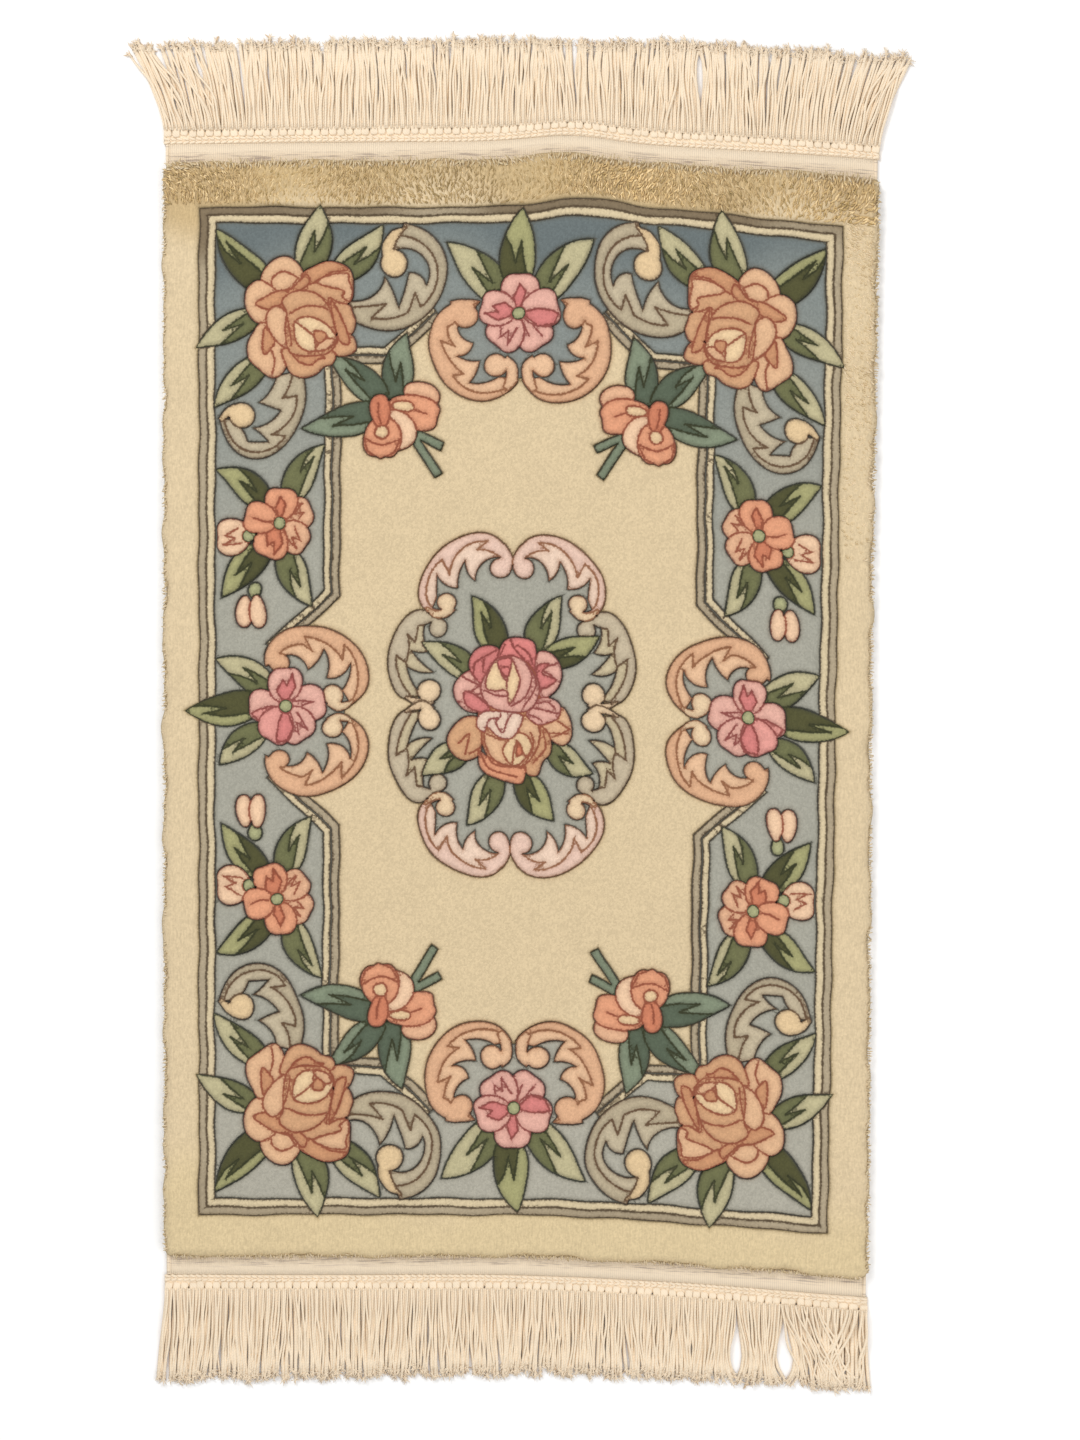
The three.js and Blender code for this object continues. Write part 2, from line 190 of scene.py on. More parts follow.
@dataclass(frozen=True)
class Lie:
    """How the cloth lies: its right side slips nearer and draws in, and its far end ripples, in mm."""

    half_width: float = 276.0
    half_length: float = 436.0
    pile_end: float = 473.0
    slip: float = 17.3
    slip_from: float = -17.0
    slip_over: float = 298.0
    slip_power: float = 1.5
    draw_left: float = -1.5
    draw_right: float = -2.5
    draw_gain: float = 7.0
    ripple: float = 9.5
    ripple_x: float = 50.0
    ripple_spread: float = 45.0
    ripple_fade: float = 60.0

    def laid(self, points: Points) -> Points:
        """Moves drawn points to where they lie.

        Args:
            points: rows of drawn x and y.

        Returns:
            Rows of x and y on the floor, still in millimetres.
        """
        x, y = points[:, 0], points[:, 1]
        across = (x + self.half_width) / (2 * self.half_width)
        right = self.draw_right + self.draw_gain * y / self.half_length
        drawn = self.draw_left + (right - self.draw_left) * across
        slipped = self.slip * np.maximum(0, (x - self.slip_from) / self.slip_over) ** self.slip_power
        reach = np.exp(-np.maximum(0, self.pile_end - y) / self.ripple_fade)
        lifted = self.ripple * reach * np.exp(-(((x - self.ripple_x) / self.ripple_spread) ** 2))
        return columns(x + drawn, y - slipped + lifted)

    def eased(self, points: Points) -> Points:
        """Returns how much further out the far end and the near half of the right edge lie than that."""
        x, y = points[:, 0], points[:, 1]
        beyond = np.clip((y - self.half_length - 4) / 30, 0, 1)
        ripple = np.exp(-(((x - 60) / 45) ** 2))
        lift = (4.5 * ripple + 3.5 * np.exp(-(((x - 140) / 70) ** 2))) * np.clip((y - 330) / 100, 0, 1)
        outer = np.clip((x - self.half_width) / 26, 0, 1) * np.clip((100 - y) / 530, 0, 1)
        eased = 3.0 + 5.5 * (x + 300) / 600 - 4 * ripple
        return columns(6.0 * outer, (1 - beyond) * lift + beyond * eased)


@dataclass(frozen=True)
class Sizes:
    """The rug's driving sizes in millimetres."""

    pile_half_width: float = 306.5
    pile_half_length: float = 473.0
    corner: float = 8.0
    cloth_half_width: float = 304.5
    band: float = 15.5
    cloth_top: float = 3.0
    frame_half_width: float = 276.0
    frame_half_length: float = 436.0
    line: float = 6.2
    groove: float = 1.0
    outer_line: float = 7.0
    field_half_width: float = 161.2
    field_half_length: float = 308.0
    knots: int = 87
    seam: float = 0.3
    heading: float = 14.0


SIZES = Sizes()


class Floor:
    """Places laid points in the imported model's frame."""

    def __init__(self, lie: Lie, sizes: Sizes) -> None:
        """Finds the shift from the drawn sheet to the frame from the rug's own box there."""
        self.lie = lie
        end = sizes.pile_half_length + sizes.band
        edge = rectangle(sizes.pile_half_width, sizes.pile_half_length - sizes.corner)
        ends = rectangle(sizes.cloth_half_width, end)
        laid = lie.laid(dense(edge, 10.0))
        band = lie.laid(dense(ends, 10.0))
        low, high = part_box("carved_rug")
        mine_x = (laid[:, 0].min() + laid[:, 0].max()) / 2
        mine_y = (band[:, 1].min() + band[:, 1].max()) / 2
        self.shift = np.array([(low[0] + high[0]) / 2 / MM - mine_x, (low[1] + high[1]) / 2 / MM - mine_y])

    def place(self, points: Points, heights: Points | float) -> Points:
        """Gives the frame's places, in metres, of drawn points at some heights.

        Args:
            points: rows of drawn x and y.
            heights: millimetres above the floor.

        Returns:
            Rows of x, y and z in metres.
        """
        flat = self.lie.laid(points) + self.lie.eased(points) + self.shift
        tall = np.broadcast_to(np.asarray(heights, dtype=float), (len(points),))
        return columns(flat, tall) * MM


def rectangle(half_width: float, half_length: float) -> Points:
    """Returns the corners of an upright rectangle about the sheet's middle, anticlockwise."""
    w, h = half_width, half_length
    return np.array([[-w, -h], [w, -h], [w, h], [-w, h]], dtype=float)


def dense(outline: Points, step: float) -> Points:
    """Adds points along an outline's straight edges.

    Args:
        outline: corners of a closed outline.
        step: the longest edge to leave.

    Returns:
        The outline with its corners kept.
    """
    onward = np.roll(outline, -1, axis=0)
    counts = np.maximum(1, np.ceil(np.linalg.norm(onward - outline, axis=1) / step)).astype(int)
    rows = [a + (b - a) * np.arange(n)[:, None] / n for a, b, n in zip(outline, onward, counts)]
    return np.vstack(rows)


def turned(points: Points, degrees: float) -> Points:
    """Turns points anticlockwise about (0, 0) by an angle in degrees."""
    a = math.radians(degrees)
    return points @ np.array([[math.cos(a), math.sin(a)], [-math.sin(a), math.cos(a)]])


def mirrored(zones: Iterable[Zone], sign_x: int, sign_y: int, centre: Pair = (0, 0)) -> list[Zone]:
    """Flips zones about a centre.

    Args:
        zones: what to flip.
        sign_x: -1 to flip side to side, else 1.
        sign_y: -1 to flip end to end, else 1.
        centre: the point that stays.

    Returns:
        New zones in the same order.
    """
    signs = np.array([sign_x, sign_y])
    middle = np.array(centre)

    def flipped(points: Points) -> Points:
        """Flips rows of x and y."""
        return (points - middle) * signs + middle

    return [replace(z, outline=flipped(z.outline), marks=tuple(flipped(m) for m in z.marks)) for z in zones]


QUARTERS = ((1, 1), (-1, 1), (1, -1), (-1, -1))


def in_quarters(zones: Sequence[Zone], centre: Pair = (0, 0)) -> list[Zone]:
    """Repeats the zones of one quarter in all four."""
    return [z for sx, sy in QUARTERS for z in mirrored(zones, sx, sy, centre)]


def arcs(rows: Sequence[Triple], step: float = 1.5) -> Points:
    """Joins points by arcs.

    Args:
        rows: x, y and the bow of the arc that leaves that point, its rise to the left as a share of its
            chord.
        step: millimetres between the points made.

    Returns:
        An open line with all the points of rows in it.
    """
    made = []
    for (x, y, bow), (nx, ny, _) in zip(rows, rows[1:]):
        a, b = np.array([x, y]), np.array([nx, ny])
        chord = np.linalg.norm(b - a)
        t = np.linspace(0, 1, max(2, int(chord * (1 + abs(bow)) / step)), endpoint=False)
        left = np.array([a[1] - b[1], b[0] - a[0]])
        rise = 4 * t * (1 - t) if abs(bow) < 0.12 else chord_rise(t, abs(bow))
        made.append(a + (b - a) * t[:, None] + left * (bow * rise)[:, None])
    return np.vstack([*made, [rows[-1][:2]]])


def chord_rise(t: Points, bow: float) -> Points:
    """Returns the rise of a circle's arc over its chord, as a share of its greatest rise."""
    radius = (0.25 + bow * bow) / (2 * bow)
    return (np.sqrt(np.maximum(radius**2 - (t - 0.5) ** 2, 0)) - (radius - bow)) / bow


def ribbon(line: Sequence[Pair] | Points, width: float | Sequence[float]) -> Points:
    """Returns the outline of a ribbon along an open line, mitred at its bends.

    Args:
        line: drawn points of its middle.
        width: millimetres, the same all along or one for each point.

    Returns:
        A closed outline.
    """
    points = np.array(line, dtype=float)
    half = np.broadcast_to(np.asarray(width, dtype=float), (len(points),))[:, None] / 2
    legs = np.diff(points, axis=0)
    legs /= np.linalg.norm(legs, axis=1)[:, None]
    before = np.vstack([legs[:1], legs])
    after = np.vstack([legs, legs[-1:]])
    along = before + after
    along /= np.linalg.norm(along, axis=1)[:, None]
    out = columns(-along[:, 1], along[:, 0]) / np.sum(along * after, axis=1)[:, None]
    return np.vstack([points - out * half, (points + out * half)[::-1]])


class LeafKind(Enum):
    """The two wools of a leaf: its light part and its dark part."""

    PALE = (Yarn.PALE_LEAF, Yarn.GREEN)
    OLIVE = (Yarn.OLIVE, Yarn.OLIVE_DARK)
    TEAL = (Yarn.TEAL, Yarn.TEAL_DARK)


@dataclass(frozen=True)
class Leaf:
    """A pointed leaf whose dark part meets its light part in a carved zigzag."""

    base: Pair  # drawn x and y of its stalk end
    tip: Pair  # drawn x and y of its point
    width: float  # millimetres at its fullest
    kind: LeafKind  # its two wools
    dark_side: int = 1  # 1 when the dark part is on the left, looking from base to tip, else -1
    bend: float = 3.0  # millimetres that the tip's end swings to the left
    reach: float = 0.8  # how far along the dark part runs at its edge, from 0 to 1

    def spots(self, along: Sequence[float] | Points, across: Sequence[float] | Points) -> Points:
        """Gives drawn points of the leaf.

        Args:
            along: 0 at the base to 1 at the tip.
            across: -1 at the right edge to 1 at the left edge.

        Returns:
            Rows of drawn x and y.
        """
        along, across = np.asarray(along, dtype=float), np.asarray(across, dtype=float)
        start, end = np.array(self.base), np.array(self.tip)
        axis = end - start
        left = np.array([-axis[1], axis[0]]) / np.linalg.norm(axis)
        full = np.sin(np.pi * np.clip(along * 0.88 + 0.12, 0, 1) ** 0.86) ** 0.86
        out = across * full * self.width / 2 + self.bend * (2.6 * along**3 - 1.6 * along**2 - 0.4 * along)
        return start + along[:, None] * axis + out[:, None] * left

    def zones(self) -> list[Zone]:
        """Returns the light leaf with its dark part over it."""
        light, dark = self.kind.value
        up = np.linspace(0, 1, 26)
        down = up[-2:0:-1]
        whole = np.vstack([self.spots(up, -np.ones_like(up)), self.spots(down, np.ones_like(down))])
        side = self.dark_side
        edge = np.append(up[up < self.reach], self.reach)
        notch = max(0.26, self.reach - 0.44)
        steps = (
            (notch + 0.22, 0.42),
            (notch, 0.12),
            (notch + 0.14, 0.0),
            (notch + 0.29, -0.16),
            (notch + 0.04, -0.36),
            (0.12, -0.62),
            (0.0, -0.9),
        )
        inner = self.spots([s[0] for s in steps], [s[1] * side for s in steps])
        part = np.vstack([self.spots(edge, np.full_like(edge, side)), inner])
        return [
            Zone(whole, Family.LEAVES, light, Seam.LEAF),
            Zone(part, Family.LEAVES, dark, Seam.LEAF, -0.3),
        ]


class Fold(Enum):
    """Inner shapes of a petal, as rows of (along, across) from its inner end -1 to its outer end 1."""

    WEDGE = ((-1.0, 0.3), (-0.3, 0.34), (0.42, 0.04), (-0.02, -0.3), (-1.0, -0.34))
    SPIKES = ((-1.0, 0.5), (-0.2, 0.62), (0.62, 0.5), (-0.05, 0.12), (0.3, -0.12), (-0.3, -0.5), (-1.0, -0.5))
    SIDE = ((-1.0, 0.0), (-0.2, 0.02), (0.5, 0.3), (0.82, 0.8), (0.4, 1.0), (-0.4, 1.0), (-1.0, 0.6))
    LIP = (
        (0.0, -1.0), (0.25, -0.45), (0.34, 0.0), (0.25, 0.45),
        (0.0, 1.0), (0.7, 1.0), (1.02, 0.0), (0.7, -1.0),
    )


class Mark(Enum):
    """Lines cut inside a petal, as rows of (along, across)."""

    STROKE = (((-0.8, 0.1), (-0.2, 0.2), (0.45, 0.1)),)
    PAIR = (((-0.8, 0.2), (0.5, 0.34)), ((-0.8, -0.1), (0.1, -0.3)))
    ZED = (((-0.5, 0.42), (0.5, 0.5), (-0.1, 0.08), (0.42, -0.1), (-0.3, -0.5)),)
    VEE = (((-0.75, 0.3), (0.3, 0.0), (-0.75, -0.3)),)


@dataclass(frozen=True)
class Petal:
    """An egg-shaped petal."""

    x: float  # drawn place of its middle
    y: float  # drawn place of its middle
    length: float  # millimetres along its axis
    width: float  # millimetres across it
    turn: float  # degrees from +X to its outer end
    yarn: Yarn  # its wool
    fold: Fold | None = None  # an inner shape in another wool, or None
    fold_yarn: Yarn | None = None  # that wool
    mark: Mark | None = None  # lines cut in it, or None
    notch: float = 0.0  # how deep its outer end dips, as a share of its half length
    rise: float = 0.0  # millimetres above the flower's height
    seam: Seam = Seam.PETAL  # the shade of the carved line round it
    family: Family = Family.FLOWERS  # the pile piece that it belongs to
    flip: int = 1  # -1 to turn its fold and its lines over

    def spots(self, along: Sequence[float] | Points, across: Sequence[float] | Points) -> Points:
        """Gives drawn points from shares of the half length and half width."""
        local = columns(np.asarray(along) * self.length / 2, np.asarray(across) * self.width / 2)
        return turned(local, self.turn) + np.array([self.x, self.y])

    def fitted(self, rows: Sequence[Pair]) -> Points:
        """Gives drawn points of (along, across) rows, drawn in to the petal's own width at each place."""
        along, across = np.array(rows).T
        room = np.sqrt(np.maximum(0.04, 1 - np.clip(np.abs(along), 0, 0.97) ** 2))
        return self.spots(along * 0.96, across * room * self.flip)

    def zones(self) -> list[Zone]:
        """Returns the petal and its fold."""
        count = max(14, int(math.pi * (self.length + self.width) / 2 / 1.5))
        a = np.linspace(-np.pi, np.pi, count, endpoint=False)
        across = np.sign(np.sin(a)) * np.abs(np.sin(a)) ** 0.88 * (1 + 0.14 * np.cos(a))
        whole = self.spots(np.cos(a) * (1 - self.notch * np.exp(-((a / 0.36) ** 2))), across)
        marks = tuple(self.fitted(rows) for rows in self.mark.value) if self.mark else ()
        zones = [Zone(whole, self.family, self.yarn, self.seam, self.rise, marks)]
        if self.fold is not None:
            part = self.fitted(self.fold.value)
            zones.append(Zone(part, self.family, self.fold_yarn or self.yarn, self.seam, self.rise - 0.3))
        return zones


def disc(
    x: float, y: float, radius: float, family: Family, yarn: Yarn, seam: Seam, rise: float = 0.0
) -> Zone:
    """Returns a round zone."""
    count = max(12, int(2 * math.pi * radius / 1.5))
    a = np.linspace(0, 2 * np.pi, count, endpoint=False)
    return Zone(columns(x + radius * np.cos(a), y + radius * np.sin(a)), family, yarn, seam, rise)


@dataclass(frozen=True)
class Blossom:
    """A flower of petals round a green eye."""

    x: float  # drawn place of its eye
    y: float  # drawn place of its eye
    radius: float  # millimetres to the petals' ends
    # rows of degrees, wool, fold or lines, flip and the fold's wool, the lowest petal first
    petals: tuple[tuple[float, Yarn, Fold | Mark, int, Yarn | None], ...]
    seam: Seam  # the shade of its carved lines
    eye: float = 5.6  # millimetres radius of its eye

    def zones(self) -> list[Zone]:
        """Returns the petals and the eye."""
        zones = []
        for turn, yarn, shape, flip, fold_yarn in self.petals:
            fold, mark = (shape, None) if isinstance(shape, Fold) else (None, shape)
            reach = self.radius * 0.55
            x = self.x + reach * math.cos(math.radians(turn))
            y = self.y + reach * math.sin(math.radians(turn))
            size = self.radius * (0.93 + 0.03 * math.sin(turn))
            petal = Petal(
                x, y, size, size * 0.96, turn, yarn, fold, fold_yarn, mark, 0.1, seam=self.seam, flip=flip
            )
            zones += petal.zones()
        zones.append(disc(self.x, self.y, self.eye, Family.FLOWERS, Yarn.CALYX, Seam.LEAF, 0.6))
        return zones


@dataclass(frozen=True)
class Volute:
    """The round end of a scroll, with the horn that joins it to the rim."""

    x: float  # drawn place of its middle
    y: float  # drawn place of its middle
    radius: float  # millimetres
    # drawn x, y and width in millimetres along the horn's middle
    horn: tuple[Triple, ...] = ()
    yarn: Yarn | None = None  # its wool, or None where it is one piece with the rim


@dataclass(frozen=True)
class Scroll:
    """A C-scroll: a rim round part of a tilted ellipse, an acanthus leaf in it, and a volute at each end."""

    x: float  # drawn place of the ellipse's middle
    y: float  # drawn place of the ellipse's middle
    rx: float  # half its length along its tilt
    ry: float  # half its length across its tilt
    tilt: float  # degrees that it is turned
    start: float  # degrees round it where the scroll begins
    end: float  # degrees round it where the scroll ends
    # drawn x, y and bow along the leaf's inner edge, from start to end
    leaf: tuple[Triple, ...]
    # drawn x, y and bow along the cut between rim and leaf, from start to end
    line: tuple[Triple, ...]
    rim: Yarn  # the rim's wool
    inner: Yarn  # the leaf's wool
    seam: Seam  # the shade of its carved lines
    first: Volute | None = None  # the volute at its start
    last: Volute | None = None  # the volute at its end

    def outer(self, start: float, end: float, size: float = 1.0) -> Points:
        """Returns points on the ellipse between two angles, in degrees."""
        a = np.radians(np.linspace(start, end, max(12, int(abs(end - start) / 2.2))))
        oval = columns(self.rx * size * np.cos(a), self.ry * size * np.sin(a))
        return turned(oval, self.tilt) + np.array([self.x, self.y])

    def ground(self) -> Zone:
        """Returns the blue ground inside the scroll."""
        return Zone(self.outer(0, 357, 0.94), Family.BLUE, Yarn.BLUE, Seam.BLUE)

    def volute(self, volute: Volute) -> list[Zone]:
        """Returns a volute's ball and horn as one area."""
        yarn = volute.yarn or self.rim
        round_ = disc(volute.x, volute.y, volute.radius, Family.SCROLLS, yarn, self.seam, 0.4)
        zones = [round_]
        if volute.horn:
            rows = smooth([row[:2] for row in volute.horn], 3)
            share = np.linspace(0, len(volute.horn) - 1, len(rows))
            widths = np.interp(share, range(len(volute.horn)), [row[2] for row in volute.horn])
            zones.append(Zone(ribbon(rows, widths), Family.SCROLLS, yarn, self.seam, 0.4, joined=True))
        if volute.yarn is None:
            zones[0] = Zone(round_.outline, round_.family, yarn, self.seam, 0.4, joined=True)
        return zones

    def zones(self) -> list[Zone]:
        """Returns the leaf, the rim and the volutes."""
        outer = self.outer(self.start, self.end)
        zones = [
            Zone(np.vstack([outer, arcs(self.leaf)[::-1]]), Family.SCROLLS, self.inner, self.seam),
            Zone(np.vstack([outer, arcs(self.line)[::-1]]), Family.SCROLLS, self.rim, self.seam, 0.4),
        ]
        ends = [volute for volute in (self.first, self.last) if volute is not None]
        for volute in sorted(ends, key=lambda v: v.yarn is not None):
            zones += self.volute(volute)
        return zones


def smooth(points: Sequence[Pair], steps: int, closed: bool = False) -> Points:
    """Rounds a line off through its points.

    Args:
        points: rows of x and y.
        steps: how many pieces each leg is cut into.
        closed: whether the last point joins the first.

    Returns:
        Rows of x and y on a Catmull-Rom curve.
    """
    p = np.array(points, dtype=float)
    ends = (p[-1:], p[:2]) if closed else (2 * p[:1] - p[1:2], 2 * p[-1:] - p[-2:-1])
    q = np.vstack([ends[0], p, ends[1]])
    t = (np.arange(steps) / steps)[:, None]
    rows = []
    for a, b, c, d in zip(q, q[1:], q[2:], q[3:]):
        square, cube = 2 * a - 5 * b + 4 * c - d, 3 * b - a - 3 * c + d
        rows.append(0.5 * (2 * b + (c - a) * t + square * t**2 + cube * t**3))
    return np.vstack(rows if closed else [*rows, p[-1:]])


@dataclass(frozen=True)
class Lobe:
    """A freely drawn part of a rose."""

    rows: tuple[Pair, ...]  # x and y of points on its edge, rounded off between them
    yarn: Yarn  # its wool
    marks: tuple[tuple[Pair, ...], ...] = ()  # lines cut in it, each as rows of x and y
    rise: float = 0.0  # millimetres above the flower's height

    def zone(self, x: float, y: float, seam: Seam) -> Zone:
        """Returns the part, measured from (x, y)."""
        shift = np.array([x, y])
        marks = tuple(smooth(line, 4) + shift for line in self.marks)
        return Zone(smooth(self.rows, 4, True) + shift, Family.FLOWERS, self.yarn, seam, self.rise, marks)


@dataclass(frozen=True)
class Frames:
    """The plush border, the blue ground, the cream field and the carved lines between them."""

    sizes: Sizes

    def pile_edge(self) -> Points:
        """Returns the pile's own outline with its cut corners and uneven edges."""
        s = self.sizes
        w, h, c = s.pile_half_width, s.pile_half_length, s.corner
        quarter = [(w, h - c), (w - c * 0.3, h - c * 0.3), (w - c, h)]
        rows = []
        for sx, sy, flip in ((1, 1, False), (-1, 1, True), (-1, -1, False), (1, -1, True)):
            rows += [(sx * x, sy * y) for x, y in (quarter[::-1] if flip else quarter)]
        x, y = dense(np.array(rows), 4.0).T
        x = x + (np.abs(x) > w - 1) * (0.9 * np.sin(y / 13) + 0.7 * np.sin(y / 5.3 + 1) - 0.4)
        y = y + (np.abs(y) > h - 1) * (0.8 * np.sin(x / 17) + 0.5 * np.sin(x / 6.1))
        return columns(x, y)

    def inner_line(self, out: float) -> list[Pair]:
        """Returns one corner of the inner frame, some millimetres towards the blue from its middle line."""
        x, y = self.sizes.field_half_width + out, self.sizes.field_half_length + out
        return [
            (-213 - 0.68 * out, 53.7 + 0.73 * out),
            (-x, 102 + 0.43 * out),
            (-x, y),
            (-113.7 - 0.39 * out, y),
            (-72 - 0.67 * out, 346 + 0.74 * out),
        ]

    def zones(self) -> list[Zone]:
        """Returns the grounds and lines, from the plush border inward."""
        s = self.sizes
        step = s.line + s.groove
        zones = [Zone(self.pile_edge(), Family.PLUSH, Yarn.PLUSH, Seam.PLUSH)]
        rings = (
            (0.0, Family.LINES, Yarn.GREY_LINE, Seam.LINE, 0.3),
            (s.outer_line, Family.LINES, Yarn.CREAM_LINE, Seam.LINE, 0.0),
            (2 * s.outer_line, Family.BLUE, Yarn.BLUE, Seam.BLUE, 0.0),
        )
        for inset, family, yarn, seam, rise in rings:
            outline = rectangle(s.frame_half_width - inset, s.frame_half_length - inset)
            zones.append(Zone(outline, family, yarn, seam, rise))
        corners = []
        for sx, sy, flip in ((-1, 1, False), (1, 1, True), (1, -1, False), (-1, -1, True)):
            rows = [(x * sx, y * sy) for x, y in self.inner_line(-step)]
            corners += rows[::-1] if flip else rows
        zones.append(Zone(np.array(corners), Family.CREAM, Yarn.CREAM, Seam.GROUND))
        half = step / 2
        lines = [
            Zone(ribbon(self.inner_line(-half), s.line + 0.6), Family.LINES, Yarn.GREY_LINE, Seam.LINE),
            Zone(ribbon(self.inner_line(half), s.line), Family.LINES, Yarn.CREAM_LINE, Seam.LINE),
        ]
        return zones + in_quarters(lines)


